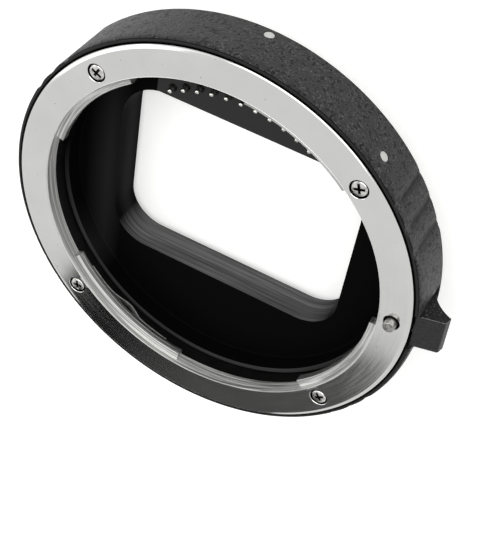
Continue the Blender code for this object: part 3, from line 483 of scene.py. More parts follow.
def prism(outline, low, high, taper=1.0):
    count = len(outline)
    points = [(x, y, high) for x, y in outline]
    points += [(x * taper, y * taper, low) for x, y in outline]
    faces = [list(range(count)), list(range(count, 2 * count))]
    for i in range(count):
        j = (i + 1) % count
        faces.append([i, j, count + j, count + i])
    return meshFrom(points, faces)


def workObject(data, place=(0.0, 0.0, 0.0), turn=(0.0, 0.0, 0.0), name="work"):
    made = bpy.data.objects.new(name, data)
    scene.collection.objects.link(made)
    made.location = [v * mm for v in place]
    made.rotation_euler = [math.radians(v) for v in turn]
    return made


def atAngle(radius, degrees, height=0.0):
    # a place that workObject takes, measured from the optical axis
    return (*polar(radius, degrees), height)


def turnedShape(section, steps, place=(0.0, 0.0, 0.0), turn=(0.0, 0.0, 0.0)):
    # a solid from a section that starts and ends on the shape's own axis
    return workObject(swept(section, steps=steps, closed=False), place, turn)


def boxShape(near, far, half, low, high, angle=0.0):
    # a box between two distances from the optical axis, turned to its angle
    outline = [(near, -half), (far, -half), (far, half), (near, half)]
    return workObject(prism(outline, low, high), turn=(0, 0, angle))


def combine(base, tools, operation='DIFFERENCE'):
    for tool in tools:
        change = base.modifiers.new("combine", 'BOOLEAN')
        change.operation = operation
        change.solver = 'EXACT'
        change.object = tool
    settle(base)
    for tool in tools:
        bpy.data.objects.remove(tool, do_unlink=True)
    return base


def settle(base):
    # replace the live modifiers with the mesh that they make
    bpy.context.view_layer.update()
    graph = bpy.context.evaluated_depsgraph_get()
    mesh = bpy.data.meshes.new_from_object(base.evaluated_get(graph))
    base.modifiers.clear()
    base.data = mesh
    return base


def softenEdges(base, width, segments=2, angle=40.0):
    bevel = base.modifiers.new("softEdges", 'BEVEL')
    bevel.width = width * mm
    bevel.segments = segments
    bevel.limit_method = 'ANGLE'
    bevel.angle_limit = math.radians(angle)
    return settle(base)


def finishPiece(made, name, slotName, body, *nodes, angle=32.0, finish=None):
    # put the place into the mesh, move it onto the optical axis and hand it to the frame
    bpy.context.view_layer.update()
    made.data.transform(made.matrix_world)
    made.matrix_world = Matrix.Identity(4)
    made.data.transform(Matrix.Translation((axisX, 0.0, 0.0)))
    made.data.shade_smooth()
    made.data.set_sharp_from_angle(angle=math.radians(angle))
    weigh = made.modifiers.new("keepFlatFacesFlat", 'WEIGHTED_NORMAL')
    weigh.keep_sharp = True
    settle(made)
    made.name = name
    made.data.name = name
    made.data.materials.clear()
    made.data.materials.append(finish or finishes[slotName])
    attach(made, body)
    if nodes:
        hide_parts(*nodes)
    return made


# geometry node helpers

def startTree(name, inputs):
    tree = bpy.data.node_groups.new(name, 'GeometryNodeTree')
    for label, kind, value in [("Geometry", "Geometry", None), *inputs]:
        socket = tree.interface.new_socket(name=label, in_out='INPUT',
                                           socket_type="NodeSocket" + kind)
        if value is not None:
            socket.default_value = value
    tree.interface.new_socket(name="Geometry", in_out='OUTPUT',
                              socket_type='NodeSocketGeometry')
    return tree, addNode(tree, 'NodeGroupInput'), addNode(tree, 'NodeGroupOutput')


def endTree(tree, outputNode, geometry, finish):
    real = addNode(tree, 'GeometryNodeRealizeInstances', {"Geometry": geometry})
    dressed = addNode(tree, 'GeometryNodeSetMaterial', {
        "Geometry": real, "Material": finish})
    tree.links.new(dressed.outputs[0], outputNode.inputs[0])


def runTree(base, tree, values):
    modifier = base.modifiers.new(tree.name, 'NODES')
    modifier.node_group = tree
    for item in tree.interface.items_tree:
        if item.item_type == 'SOCKET' and item.in_out == 'INPUT' and item.name in values:
            modifier[item.identifier] = values[item.name]
    return settle(base)


def roundTree(finish):
    # sets a copy of a shape at each point's own angle round the optical axis
    tree, source, target = startTree("roundTheAxis", [
        ("Shape", "Object", None), ("Circle Radius", "Float", 0.0309), ("Height", "Float", 0.0),
        ("Flip", "Float", 0.0)])
    angle, turn = [addNode(tree, 'GeometryNodeInputNamedAttribute', {"Name": label},
                           data_type='FLOAT') for label in ("angle", "turn")]
    along = []
    for kind in ('COSINE', 'SINE'):
        share = addNode(tree, 'ShaderNodeMath', {0: angle}, operation=kind)
        along.append(addNode(tree, 'ShaderNodeMath', {
            0: share, 1: source.outputs["Circle Radius"]}, operation='MULTIPLY'))
    place = addNode(tree, 'ShaderNodeCombineXYZ', {
        0: along[0], 1: along[1], 2: source.outputs["Height"]})
    moved = addNode(tree, 'GeometryNodeSetPosition', {
        "Geometry": source.outputs["Geometry"], "Position": place})
    info = addNode(tree, 'GeometryNodeObjectInfo', {"Object": source.outputs["Shape"]})
    spin = addNode(tree, 'ShaderNodeCombineXYZ', {0: source.outputs["Flip"], 2: turn})
    points = addNode(tree, 'GeometryNodeMeshToPoints', {"Mesh": moved})
    placed = addNode(tree, 'GeometryNodeInstanceOnPoints', {
        "Points": points, "Instance": info.outputs["Geometry"], "Rotation": spin})
    endTree(tree, target, placed, finish)
    return tree


def placeRound(name, tree, shape, radius, angles, turns, height=0.0, flip=0.0):
    # angles and turns in degrees, one of each for every copy
    mesh = bpy.data.meshes.new(name)
    mesh.from_pydata([(0.0, 0.0, 0.0)] * len(angles), [], [])
    for label, values in (("angle", angles), ("turn", turns)):
        layer = mesh.attributes.new(label, 'FLOAT', 'POINT')
        layer.data.foreach_set("value", [math.radians(v) for v in values])
    return runTree(workObject(mesh, name=name), tree, {
        "Shape": shape, "Circle Radius": radius * mm, "Height": height * mm, "Flip": flip})


# cross-head screws of both rings

screw = {
    "head": 1.27,
    "dome": 0.05,
    "headHeight": 0.70,
    "shank": 0.78,
    "length": 3.3,  # under the head
    "crossWidth": 0.50,
    "crossSpan": 2.20,
    "crossDepth": 0.55,
    "crossTaper": 0.55,
    "hole": 1.1,
    "seat": 1.50,
    "seatDepth": 1.05,
    "frontTurns": (18.0, -27.0, 8.0, 35.0),
    "frontHeight": flange - 0.04,
    "rearAngles": (22.5, 112.5, 202.5, 292.5),
    "rearTurns": (12.0, 40.0, -20.0, 5.0),
    "rearHeight": 4.44,
}


def screwSeat(face, up, back, angle):
    # up is 1 for a seat in an upper face and -1 for one in a lower face
    seat, hole, floor = screw["seat"], screw["hole"], face - screw["seatDepth"] * up
    over, under = face + 0.6 * up, back - up
    section = [(0.0, over), (seat + 0.66, over), (seat, face - 0.06 * up), (seat, floor),
               (hole, floor), (hole, under), (0.0, under)]
    return turnedShape(section, 48, atAngle(ring["screwCircle"], angle))


def makeScrewShape():
    head = screw["head"]
    neck = -screw["headHeight"]
    foot = neck - screw["length"]
    section = [(0.0, 0.0), (head * 0.45, -0.006), (head * 0.72, -screw["dome"] * 0.5),
               (head * 0.90, -screw["dome"] - 0.02), (head * 0.98, -0.16), (head, -0.26),
               (head, neck), (screw["shank"], neck), (screw["shank"], foot), (0.0, foot)]
    shape = turnedShape(section, 48)
    half = screw["crossWidth"] / 2
    span = screw["crossSpan"] / 2
    cross = [(half, half), (half, span), (-half, span), (-half, half), (-span, half),
             (-span, -half), (-half, -half), (-half, -span), (half, -span), (half, -half),
             (span, -half), (span, half)]
    recess = workObject(prism(cross[::-1], -screw["crossDepth"], 0.3, screw["crossTaper"]))
    return combine(shape, [recess])


def makeScrews():
    shape = makeScrewShape()
    tree = roundTree(finishes["nickel_plated_screw"])
    for side, angles, flip in (("front", ring["screwAngles"], 0.0),
                               ("rear", screw["rearAngles"], math.pi)):
        name = f"{side}RingScrews"
        row = placeRound(name, tree, shape, ring["screwCircle"], angles, screw[f"{side}Turns"],
                         screw[f"{side}Height"], flip)
        finishPiece(row, name, "nickel_plated_screw", "tube",
                    *[f"{side}_screw_{i}" for i in range(1, 5)], angle=30.0)
    bpy.data.objects.remove(shape, do_unlink=True)
    print("ring screws done")


# front bayonet ring

ring = {
    "throat": 27.5,
    "bore": 28.7,
    "rim": 33.75,
    "bevelWidth": 0.45,
    "bevelDrop": 0.12,
    "rimEdge": 0.15,
    "back": flange - 2.5,
    "lugTop": flange - 1.0,
    "lugFoot": flange - 2.4,
    "lugRoot": 0.6,  # how far a lug reaches into the ring
    "lugs": ((48.0, 86.0), (124.6, 165.8), (215.0, 265.7), (314.0, 359.0)),
    "screwCircle": 30.9,
    "screwAngles": (47.4, 132.8, 224.6, 319.7),
    "lockPinAngle": 4.3,
    "lockPinHole": 1.25,
}


def makeFrontRing():
    low = flange - ring["bevelDrop"]
    outer = ring["rim"] - ring["rimEdge"]
    section = rounded([
        (ring["bore"], ring["back"], 0.10), (ring["bore"], flange, 0.16),
        (outer - ring["bevelWidth"], flange, 0.05), (outer, low, 0.05),
        (ring["rim"], low - ring["rimEdge"], 0.06), (ring["rim"], ring["back"], 0.10)])
    body = workObject(swept(section, steps=480))
    root = ring["bore"] + ring["lugRoot"]
    lugSection = rounded([
        (ring["throat"], ring["lugFoot"], 0.14), (ring["throat"], ring["lugTop"], 0.14),
        (root, ring["lugTop"], 0.0), (root, ring["lugFoot"], 0.0)])
    lugs = [workObject(swept(lugSection, start, end, steps=math.ceil((end - start) / 0.75)))
            for start, end in ring["lugs"]]
    combine(body, lugs, 'UNION')
    seats = [screwSeat(flange, 1, ring["back"], angle) for angle in ring["screwAngles"]]
    hole = ring["lockPinHole"]
    pinHole = turnedShape([
        (0.0, flange + 0.5), (hole + 0.62, flange + 0.5), (hole + 0.1, flange),
        (hole, flange - 0.1), (hole, ring["back"] - 1.0), (0.0, ring["back"] - 1.0)], 40,
        atAngle(ring["screwCircle"], ring["lockPinAngle"]))
    combine(body, seats + [pinHole])
    finishPiece(body, "frontBayonetRing", "chromed_brass", "tube", "front_bayonet_ring")
    print("front ring done")


makeFrontRing()
makeScrews()


# painted index dots, slightly domed, in shallow drilled seats

dots = {
    "places": ((50.4, flange - 3.7), (88.2, 7.5)),  # degrees, mm: the front dot and the rear one
    "radius": 0.78,
    "depth": 0.15,
    "seatSide": 0.06,
    "seatDepth": 0.05,
}


def dotShape(angle, height, section):
    return turnedShape(section, 40, atAngle(barrel["skin"], angle, height), (0, 90, angle))


def makeDots():
    radius = dots["radius"]
    foot = -dots["depth"] - 0.04
    section = [(0.0, 0.0), (radius * 0.6, -0.015), (radius * 0.9, -0.05), (radius, -0.12),
               (radius, foot), (0.0, foot)]
    for (angle, height), side in zip(dots["places"], ("front", "rear")):
        disc = dotShape(angle, height, section)
        finishPiece(disc, f"{side}IndexDot", "white_paint", "tube", f"{side}_index_dot")
    print("index dots done")


# barrel, with the grip lobes made by a rule

barrel = {
    "skin": 34.8,
    "lip": 34.42,
    "lipBore": 34.05,
    "lipTop": flange - 0.35,
    "grooveWidth": 0.07,
    "grooveLow": flange - 0.72,
    "shoulder": flange - 0.55,
    "shoulderDepth": 1.45,
    "rear": 5.8,
    "webBottom": 6.5,
    "webTop": flange - 2.8,
    "webBore": 29.0,
    "rearRecess": 33.5,
    "gripAngle": 33.3,  # from the X axis, the same in all four quarters
    "gripPitch": 6.7,
    "gripValleys": 3,
    "gripSoftness": 0.06,
    "valleyDepth": 0.48,
    "crestDrop": 0.20,
    "slotAngle": 3.0,
    "slotWidth": 6.8,
    "slotLow": 6.6,
    "pocketWidth": 5.8,
    "pocketInner": 29.4,
    "pocketLow": 7.1,
    "screwHoles": ((ring["screwAngles"], flange, 9.8), (screw["rearAngles"], 9.3, 6.0)),
}


def gripTree(finish):
    # holds the skin inside a lobed outline: crests, sharp valleys and a full-height first lobe
    tree, source, target = startTree("gripLobes", [
        ("Skin Radius", "Float", 0.0348), ("Grip Angle", "Float", 0.58),
        ("Valley Depth", "Float", 0.0005), ("Crest Drop", "Float", 0.0002),
        ("Pitch", "Float", 0.117), ("Valleys", "Float", 3.0), ("Softness", "Float", 0.0001)])
    place = addNode(tree, 'GeometryNodeInputPosition')
    across, along = addNode(tree, 'ShaderNodeSeparateXYZ', {0: place}).outputs[:2]
    flat = addNode(tree, 'ShaderNodeCombineXYZ', {0: across, 1: along})
    known = {"across": across, "along": along, "radius": addNode(
        tree, 'ShaderNodeVectorMath', {0: flat}, operation='LENGTH')}
    known.update((socket.name, socket) for socket in source.outputs)
    # each row names a result, its operation and its inputs: numbers or names of earlier results
    for name, operation, *inputs in (
            ("acrossSize", 'ABSOLUTE', "across"), ("alongSize", 'ABSOLUTE', "along"),
            ("angle", 'ARCTAN2', "alongSize", "acrossSize"),
            ("away", 'SUBTRACT', "angle", "Grip Angle"), ("share", 'DIVIDE', "away", "Pitch"),
            ("reach", 'MULTIPLY', "Valleys", 0.5), ("distance", 'ABSOLUTE', "share"),
            ("turns", 'ADD', "share", "reach"), ("phase", 'MULTIPLY', "turns", math.pi),
            ("wave", 'COSINE', "phase"), ("lobe", 'ABSOLUTE', "wave"),
            ("lastCrest", 'SUBTRACT', "reach", 0.5),
            ("middle", 'LESS_THAN', "distance", "lastCrest"),
            ("crest", 'MULTIPLY', "middle", "Crest Drop"),
            ("tall", 'SUBTRACT', "Valley Depth", "crest"), ("rise", 'MULTIPLY', "tall", "lobe"),
            ("depth", 'SUBTRACT', "Valley Depth", "rise"),
            ("held", 'SUBTRACT', "Skin Radius", "depth"),
            ("beyond", 'GREATER_THAN', "distance", "reach"),
            ("freed", 'MULTIPLY', "beyond", mm), ("limit", 'ADD', "held", "freed"),
            ("kept", 'SMOOTH_MIN', "radius", "limit", "Softness"),
            ("portion", 'DIVIDE', "kept", "radius"), ("ratio", 'SUBTRACT', "portion", 1.0)):
        known[name] = addNode(tree, 'ShaderNodeMath', {
            i: known.get(value, value) for i, value in enumerate(inputs)}, operation=operation)
    shift = addNode(tree, 'ShaderNodeVectorMath', {0: flat, "Scale": known["ratio"]},
                    operation='SCALE')
    moved = addNode(tree, 'GeometryNodeSetPosition', {
        "Geometry": known["Geometry"], "Offset": shift})
    endTree(tree, target, moved, finish)
    return tree


def makeBarrel():
    b = barrel
    groove = b["lip"] + b["grooveWidth"]
    width = b["skin"] - groove
    shoulder = []
    for degrees in range(10, 91, 10):
        turn = math.radians(degrees)
        shoulder.append((b["skin"] - width * (1 - math.sin(turn)),
                         b["shoulder"] - b["shoulderDepth"] * (1 - math.cos(turn)), 0.0))
    section = rounded([
        (b["lipBore"], b["webTop"], 0.0), (b["lipBore"], b["lipTop"], 0.06),
        (b["lip"], b["lipTop"], 0.06), (b["lip"], b["grooveLow"], 0.0),
        (groove, b["grooveLow"], 0.0), (groove, b["shoulder"], 0.02), *shoulder,
        (b["skin"], b["rear"] + 0.4, 0.12), (b["skin"] - 0.4, b["rear"], 0.10),
        (b["rearRecess"], b["rear"], 0.05), (b["rearRecess"], b["webBottom"], 0.0),
        (b["webBore"], b["webBottom"], 0.05), (b["webBore"], b["webTop"], 0.05)])
    body = workObject(swept(section, steps=1080))
    runTree(body, gripTree(finishes["textured_black_paint"]), {
        "Skin Radius": b["skin"] * mm, "Grip Angle": math.radians(b["gripAngle"]),
        "Valley Depth": b["valleyDepth"] * mm, "Crest Drop": b["crestDrop"] * mm,
        "Pitch": math.radians(b["gripPitch"]), "Valleys": float(b["gripValleys"]),
        "Softness": b["gripSoftness"] * mm})
    cutters = [
        boxShape(b["lipBore"] - 0.3, b["skin"] + 2.0, b["slotWidth"] / 2, b["slotLow"],
                 flange + 1.0, b["slotAngle"]),
        boxShape(b["pocketInner"], b["lipBore"], b["pocketWidth"] / 2, b["pocketLow"],
                 flange + 1.0, b["slotAngle"])]
    for angles, top, low in b["screwHoles"]:
        hole = [(0.0, top), (screw["hole"], top), (screw["hole"], low), (0.0, low)]
        cutters += [turnedShape(hole, 24, atAngle(ring["screwCircle"], a)) for a in angles]
    wide = dots["radius"] + dots["seatSide"]
    deep = -dots["depth"] - dots["seatDepth"]
    seat = [(0.0, 1.0), (wide, 1.0), (wide, deep), (0.0, deep)]
    cutters += [dotShape(angle, height, seat) for angle, height in dots["places"]]
    combine(body, cutters)
    finishPiece(body, "barrelShell", "textured_black_paint", "tube", "barrel", angle=28.0)
    print("barrel done")


makeBarrel()
makeDots()


# leaf springs behind the front lugs

leaf = {
    "margin": 7.0,  # degrees inside the lug's ends
    "width": 0.85,
    "thickness": 0.22,
    "bow": 0.85,
    "bump": (0.19, 0.71),  # shares of the spring between which it bows
    "lean": 1.6,  # the bow starts gently and ends steeply
    "top": flange - 2.7,
}


def leafLift(share):
    low, high = leaf["bump"]
    bump = min(max((share - low) / (high - low), 0.0), 1.0)
    return -leaf["bow"] * math.sin(math.pi * bump ** leaf["lean"]) ** 2


def makeLeafSprings():
    outer, top = ring["bore"], leaf["top"]
    inner, low = outer - leaf["width"], top - leaf["thickness"]
    section = rounded([(inner, low, 0.05), (inner, top, 0.05), (outer, top, 0.05),
                       (outer, low, 0.05)], segments=2)
    for index, (start, end) in enumerate(ring["lugs"], 1):
        spring = workObject(swept(section, start + leaf["margin"], end - leaf["margin"], steps=60,
                                  lift=leafLift))
        finishPiece(spring, f"leafSpring{index}", "spring_steel", "tube", f"leaf_spring_{index}")
    print("leaf springs done")


makeLeafSprings()


# light baffle: cup, picture gate and tunnel

baffle = {
    "outer": 28.7,
    "inner": 27.9,
    "top": 10.48,
    "floor": 7.4,
    "bottom": 6.5,
    "tunnelEnd": 1.5,
    "tunnelWall": 1.0,
    "tunnelLimit": 26.0,
    "gate": (20.5, 17.85, -14.0, 6.3, 7.2),  # half width, top, bottom, low and high corner
    "windowLow": 19.95,
    "windowHalf": 13.0,
    "windowOuter": 25.4,
    "fillet": 0.10,
}


def gateOutline(grow):
    half, top, bottom, low, high = baffle["gate"]
    side = half + grow
    points = []
    for x, y, start, corner in (
            (side, top + grow, 0, high + grow), (-side, top + grow, 90, high + grow),
            (-side, bottom - grow, 180, low + grow), (side, bottom - grow, 270, low + grow)):
        centreX = x - math.copysign(corner, x)
        centreY = y - math.copysign(corner, y)
        points += [(centreX + px, centreY + py)
                   for px, py in arcPoints(corner, start, start + 90, 6.0)]
    return points


def chordOutline(low, radius, half):
    turn = math.degrees(math.acos(half / radius))
    return [(-half, low), (half, low)] + arcPoints(radius, turn, 180 - turn)


def makeBaffle():
    f = baffle
    section = rounded([
        (0.0, f["floor"], 0.0), (f["inner"], f["floor"], 0.25), (f["inner"], f["top"], 0.08),
        (f["outer"], f["top"], 0.08), (f["outer"], f["bottom"], 0.08), (0.0, f["bottom"], 0.0)],
        closed=False)
    cup = turnedShape(section, 360)
    tunnel = workObject(prism(gateOutline(f["tunnelWall"]), f["tunnelEnd"], f["bottom"] + 0.45))
    limit = turnedShape([(0.0, 20.0), (f["tunnelLimit"], 20.0), (f["tunnelLimit"], -1.0),
                         (0.0, -1.0)], 360)
    combine(tunnel, [limit], 'INTERSECT')
    combine(cup, [tunnel], 'UNION')
    gate = workObject(prism(gateOutline(0.0), -1.0, 20.0))
    window = workObject(prism(chordOutline(f["windowLow"], f["windowOuter"], f["windowHalf"]),
                              6.0, 9.0))
    combine(cup, [gate, window])
    softenEdges(cup, f["fillet"], 2, 50.0)
    finishPiece(cup, "lightBaffle", "matt_black_abs", "tube", "light_baffle", angle=40.0)
    print("light baffle done")


makeBaffle()


# contact row: guide block, sprung pins, rear block and pads

contacts = {
    "count": 11,
    "circle": 23.9,
    "step": 5.70,
    "centre": 90.5,
    "pinRadius": 0.40,
    "pinTip": 10.5,
    "collar": (0.65, 7.4, 7.1),  # radius, top and bottom
    "mouth": (0.28, 9.0),  # the guide hole round the pin: gap, and height where it narrows
    "guide": (0.15, 8.9),
    "blockTop": 9.2,
    "blockBottom": 7.7,
    "blockLow": 19.15,
    "blockHalf": 14.2,
    "blockOuter": 27.6,
    "blockFillet": 0.12,
    "padRadius": 0.75,
    "padFace": 0.8,
    "padThickness": 0.4,
    "wellGap": (0.12, 0.28),  # round the pad, inside and at the mouth
    "rearBlockTop": 5.6,
}


def contactAngles():
    first = contacts["centre"] - contacts["step"] * (contacts["count"] - 1) / 2
    return [first + contacts["step"] * i for i in range(contacts["count"])]


def contactBlock(outline, low, high, hole):
    # the same hole is cut at every contact
    block = workObject(prism(outline, low, high))
    softenEdges(block, contacts["blockFillet"], 2, 40.0)
    return combine(block, [turnedShape(hole, 24, atAngle(contacts["circle"], angle))
                           for angle in contactAngles()])


def slotOf(node):
    return next(s["material_slot"] for s in frame["record"]["subparts"] if s["node"] == node)


def makeFrontContacts():
    c = contacts
    r = c["pinRadius"]
    mouth, mouthLow = r + c["mouth"][0], c["mouth"][1]
    guide, guideTop = r + c["guide"][0], c["guide"][1]
    block = contactBlock(chordOutline(c["blockLow"], c["blockOuter"], c["blockHalf"]),
                         c["blockBottom"], c["blockTop"],
                         [(0.0, 11.0), (mouth, 11.0), (mouth, mouthLow), (guide, guideTop),
                          (guide, 7.0), (0.0, 7.0)])
    finishPiece(block, "frontContactBlock", "matt_black_abs", "tube", "front_contact_block",
                finish=blockPlastic)
    tip = c["pinTip"]
    wide, high, low = c["collar"]
    section = [(0.0, tip)] + [
        (r * math.sin(math.radians(a)), tip - r + r * math.cos(math.radians(a)))
        for a in range(15, 91, 15)] + [(r, high), (wide, high), (wide, low), (0.0, low)]
    shape = turnedShape(section, 24)
    tree = roundTree(silverPlate)
    for i, angle in enumerate(contactAngles(), 1):
        node = f"contact_pin_{i:02d}"
        pin = placeRound("pin", tree, shape, c["circle"], [angle], [angle])
        finishPiece(pin, f"contactPin{i:02d}", slotOf(node), f"pin_{i:02d}", node,
                    finish=silverPlate)
    bpy.data.objects.remove(shape, do_unlink=True)
    print("front contacts done")


def makeRearContacts():
    c = contacts
    r = c["padRadius"]
    face = c["padFace"]
    back = face + c["padThickness"]
    well, mouth = [r + gap for gap in c["wellGap"]]
    block = contactBlock(chordOutline(baffle["windowLow"], baffle["tunnelLimit"],
                                      baffle["windowHalf"]), face, c["rearBlockTop"],
                         [(0.0, back + 0.1), (well, back + 0.1), (well, face + 0.1),
                          (mouth, face - 0.1), (0.0, face - 0.1)])
    finishPiece(block, "rearContactBlock", "matt_black_abs", "tube", "rear_contact_block",
                finish=blockPlastic)
    shape = turnedShape([(0.0, back), (r, back), (r, face + 0.12), (r * 0.85, face + 0.02),
                         (0.0, face)], 24)
    angles = contactAngles()
    pads = placeRound("pads", roundTree(finishes["gold_plating"]), shape, c["circle"], angles,
                      angles)
    finishPiece(pads, "rearContactPads", "gold_plating", "tube",
                *[f"rear_contact_pad_{i:02d}" for i in range(1, c["count"] + 1)])
    bpy.data.objects.remove(shape, do_unlink=True)
    print("rear contacts done")


makeFrontContacts()
makeRearContacts()


# rear bayonet ring

rearRing = {
    "flangeRadius": 33.2,
    "flangeTop": 6.2,
    "face": 4.4,
    "sleeve": 27.2,
    "sleeveBore": 26.3,
    "lugRadius": 28.4,
    "lugRoot": 0.45,
    "lugLow": 0.6,
    "lugHigh": 1.9,
    "trim": 1.5,  # degrees that each lug is shorter than the front lug over it
    "notch": (2.5, 3.7),
    "notchFillet": 0.5,
}


def makeRearRing():
    r = rearRing
    section = rounded([
        (r["sleeveBore"], r["flangeTop"], 0.08), (r["flangeRadius"], r["flangeTop"], 0.10),
        (r["flangeRadius"], r["face"] + 0.3, 0.05), (r["flangeRadius"] - 0.3, r["face"], 0.05),
        (r["sleeve"], r["face"], 0.05), (r["sleeve"], 0.0, 0.15), (r["sleeveBore"], 0.0, 0.10)])
    body = workObject(swept(section, steps=480))
    root = r["sleeve"] - r["lugRoot"]
    lugSection = rounded([
        (root, r["lugLow"], 0.0), (root, r["lugHigh"], 0.0),
        (r["lugRadius"], r["lugHigh"], 0.10), (r["lugRadius"], r["lugLow"], 0.25)])
    combine(body, [workObject(swept(lugSection, start + r["trim"], end - r["trim"], steps=48))
                   for start, end in ring["lugs"]], 'UNION')
    deep, wide = r["notch"]
    circle = ring["screwCircle"]
    notch = boxShape(circle - deep / 2, circle + deep / 2, wide / 2, r["face"] - 1.0,
                     r["flangeTop"] + 1.0, ring["lockPinAngle"])
    softenEdges(notch, r["notchFillet"], 4, 60.0)
    combine(body, [screwSeat(r["face"], -1, r["flangeTop"], angle)
                   for angle in screw["rearAngles"]] + [notch])
    finishPiece(body, "rearBayonetRing", "chromed_brass", "tube", "rear_bayonet_ring")
    print("rear ring done")


makeRearRing()


# release slider and the lock pin that it carries

slider = {
    "angle": 3.0,
    "width": 6.2,
    "inner": 34.05,
    "reach": 4.55,
    "top": flange - 1.0,
    "bottom": 8.8,
    "padDrop": 0.8,
    "tipDrop": 2.15,
    "tipInset": 0.35,
    "hollow": 0.44,
    "hollowSteps": 16,
    "heel": 0.85,
    "fillet": 0.10,
    "tongue": (1.71, 11.1, 10.1, 5.2),  # reach, top, bottom, width
    "pinTip": flange + 1.2,
    "pinHead": (0.95, 12.4),  # radius and lower end
    "pinTail": (0.5, 10.2),
}


def makeSlider():
    s = slider
    length = s["top"] - s["bottom"]
    edge = s["reach"] - s["tipInset"]
    tip = Vector((s["reach"], -s["tipDrop"]))
    heel = Vector((s["heel"], -length))
    back = (heel - tip).normalized()
    inward = Vector((back.y, -back.x))
    corners = rounded([(0.0, 0.0, 0.0), (0.3, 0.0, 0.0), (edge, -s["padDrop"], 0.30),
                       (tip.x, tip.y, 0.12), (*(tip + back * 0.3), 0.0)], closed=False)[:-1]
    for step in range(1, s["hollowSteps"]):
        share = step / s["hollowSteps"]
        point = tip.lerp(heel, share) + inward * s["hollow"] * 4 * share * (1 - share)
        corners.append(tuple(point))
    corners += [tuple(heel), (0.0, -length)]
    half = s["width"] / 2
    body = workObject(prism(corners, -half, half))
    body.data.transform(Matrix.Rotation(math.radians(90), 4, 'X'))
    body.data.transform(Matrix.Translation((s["inner"] * mm, 0.0, s["top"] * mm)))
    softenEdges(body, s["fillet"], 3, 25.0)
    reach, high, low, wide = s["tongue"]
    combine(body, [boxShape(s["inner"] - reach, s["inner"] + 0.3, wide / 2, low, high)], 'UNION')
    body.rotation_euler = (0.0, 0.0, math.radians(s["angle"]))
    finishPiece(body, "releaseSlider", "slider_black_abs", "slider", "release_slider", angle=25.0)
    print("slider done")


def makeLockPin():
    tip = slider["pinTip"]
    head, neck = slider["pinHead"]
    tail, foot = slider["pinTail"]
    section = rounded([(0.0, tip, 0.0), (head, tip, 0.28), (head, neck, 0.0), (tail, neck, 0.0),
                       (tail, foot, 0.0), (0.0, foot, 0.0)], closed=False, segments=6)
    pin = turnedShape(section, 48, atAngle(ring["screwCircle"], ring["lockPinAngle"]))
    finishPiece(pin, "lockPin", "spring_steel", "slider", "lock_pin", finish=pinSteel)
    print("lock pin done")


makeSlider()
makeLockPin()


# coil spring under the carrier plate, built at its resting length; the real one shortens as the
# slider goes down

coil = {
    "radius": 1.0,
    "wire": 0.14,
    "turns": 3.5,
    "travel": 1.9,  # of the slider
    "slack": 0.03,
}


def coilTree(finish):
    tree, source, target = startTree("sliderCoil", [
        ("Turns", "Float", 3.5), ("Coil Radius", "Float", 0.001),
        ("Wire Radius", "Float", 0.00014), ("Length", "Float", 0.003)])
    given = source.outputs
    path = addNode(tree, 'GeometryNodeCurveSpiral', {
        "Resolution": 28, "Rotations": given["Turns"], "Start Radius": given["Coil Radius"],
        "End Radius": given["Coil Radius"], "Height": given["Length"]})
    wire = addNode(tree, 'GeometryNodeCurvePrimitiveCircle', {
        "Resolution": 10, "Radius": given["Wire Radius"]})
    tube = addNode(tree, 'GeometryNodeCurveToMesh', {
        "Curve": path, "Profile Curve": wire, "Fill Caps": True})
    endTree(tree, target, tube, finish)
    return tree


def makeCoil():
    low, high = [corner.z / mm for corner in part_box("slider_spring")]
    place = atAngle(ring["screwCircle"], ring["lockPinAngle"], low + coil["wire"])
    spring = workObject(bpy.data.meshes.new("coil"), place)
    runTree(spring, coilTree(finishes["spring_steel"]), {
        "Turns": coil["turns"], "Coil Radius": coil["radius"] * mm,
        "Wire Radius": coil["wire"] * mm, "Length": (high - low - 2 * coil["wire"]) * mm})
    shape = bmesh.new()
    shape.from_mesh(spring.data)
    bmesh.ops.recalc_face_normals(shape, faces=shape.faces)
    shape.to_mesh(spring.data)
    shape.free()
    finishPiece(spring, "sliderCoil", "spring_steel", "tube", "slider_spring", angle=40.0)
    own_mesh(spring)
    print("coil done")


makeCoil()


# CAD pieces that keep their shape get their finish here

for node in ("carrier_plate", "carrier_rivet", "flex_circuit"):
    part = frame["nodes"][node]
    part.data.materials.clear()
    part.data.materials.append(finishes[slotOf(node)])
print("inner pieces dressed")


# studio: pale floor, soft lamps, white background

studio = {
    "worldStrength": 0.56,
    "floorColor": "#E6E6E4",
    "floorHalf": 2500,
    "floorHeight": -0.03,
    "floorGlow": 0.45,  # seen by the camera and by mirrors alone
    "cardCorners": ((-118, 5), (6, 5), (6, 197), (-118, 197)),
    "cardPlace": -200,
    "cardTones": (0.01, 0.09),  # brightness of the dark card that the chrome mirrors
    "cardShade": (-90.0, -50.0),  # mm across, from the first tone to the second
    "lamps": (("softKey", 4.5, (900, 700), (140, 520, 560)),
              ("softFill", 1.6, (700, 600), (-560, 60, 480))),
    "lampAim": (0.0, 0.0, 8.0),
    "lens": 77.48,
    "cameraPlace": (49.5656, 126.5416, 138.4427),
    "cameraTurn": (-41.09285, 27.60358, 8.99610),
}


def rayMask(tree, *kinds):
    # 1 for rays of these kinds, 0 for the light that falls on the part
    path = addNode(tree, 'ShaderNodeLightPath')
    mask = path.outputs[kinds[0]]
    for kind in kinds[1:]:
        mask = addNode(tree, 'ShaderNodeMath', {0: mask, 1: path.outputs[kind]},
                       operation='MAXIMUM')
    return mask


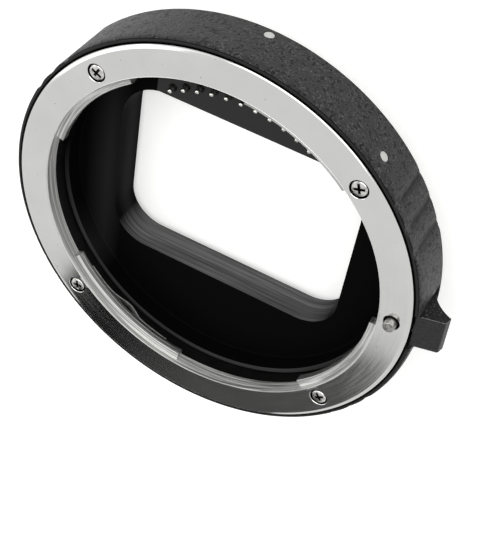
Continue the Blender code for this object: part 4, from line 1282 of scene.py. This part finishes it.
def makeFloor():
    half = studio["floorHalf"]
    mesh = meshFrom([(x, y, studio["floorHeight"]) for x, y in (
        (-half, -half), (half, -half), (half, half), (-half, half))], [(0, 1, 2, 3)])
    floor = workObject(mesh, name="paleFloor")
    made, tree, shader = startMaterial("paleFloor", 0.9)
    shader.inputs["Base Color"].default_value = linearColor(studio["floorColor"])
    seen = rayMask(tree, "Is Camera Ray", "Is Glossy Ray")
    lit = addNode(tree, 'ShaderNodeMath', {0: seen, 1: studio["floorGlow"]}, operation='MULTIPLY')
    glow = addNode(tree, 'ShaderNodeEmission', {"Strength": lit})
    both = addNode(tree, 'ShaderNodeAddShader', {0: shader, 1: glow})
    tree.links.new(both.outputs[0], tree.nodes["Material Output"].inputs["Surface"])
    mesh.materials.append(made)


def makeWorld():
    world = bpy.data.worlds.new("whiteStudio")
    world.use_nodes = True
    tree = world.node_tree
    back = tree.nodes["Background"]
    back.inputs["Color"].default_value = (1.0, 1.0, 1.0, 1.0)
    clear = rayMask(tree, "Is Camera Ray", "Is Glossy Ray", "Is Transmission Ray")
    strength = addNode(tree, 'ShaderNodeMapRange', {
        "Value": clear, "To Min": studio["worldStrength"], "To Max": 1.0})
    addNodeTo(tree, strength, back, "Strength")
    scene.world = world


def makeLamp(name, power, size, place):
    lamp = bpy.data.lights.new(name, 'AREA')
    lamp.shape = 'RECTANGLE'
    lamp.size, lamp.size_y = [v * mm for v in size]
    lamp.energy = power
    made = workObject(lamp, place, name=name)
    toward = Vector(studio["lampAim"]) - Vector(place)
    made.rotation_euler = toward.to_track_quat('-Z', 'Y').to_euler()


def makeCard():
    # a dark card behind the tube, seen only in reflections, so that the chrome isn't flat
    mesh = meshFrom([(x, studio["cardPlace"], z) for x, z in studio["cardCorners"]],
                    [(0, 1, 2, 3)])
    card = workObject(mesh, name="darkCard")
    made, tree, shader = startMaterial("darkCard", 0.9)
    parts = addNode(tree, 'ShaderNodeSeparateXYZ', {0: centredCoords(tree)})
    shade = addNode(tree, 'ShaderNodeMapRange', {
        "Value": parts, "From Min": studio["cardShade"][0], "From Max": studio["cardShade"][1],
        "To Min": studio["cardTones"][0], "To Max": studio["cardTones"][1]})
    glow = addNode(tree, 'ShaderNodeEmission', {"Strength": shade})
    addNodeTo(tree, glow, tree.nodes["Material Output"], "Surface")
    tree.nodes.remove(shader)
    mesh.materials.append(made)
    for ray in ("camera", "diffuse", "shadow", "transmission"):
        setattr(card, f"visible_{ray}", False)


def makeCamera():
    camera = bpy.data.cameras.new("productCamera")
    camera.lens = studio["lens"]
    camera.sensor_width = 36.0
    camera.clip_start = 0.01
    scene.camera = workObject(camera, studio["cameraPlace"], studio["cameraTurn"],
                              "productCamera")


makeFloor()
makeWorld()
makeCard()
for values in studio["lamps"]:
    makeLamp(*values)
makeCamera()
scene.view_settings.view_transform = 'Standard'
print("studio ready")
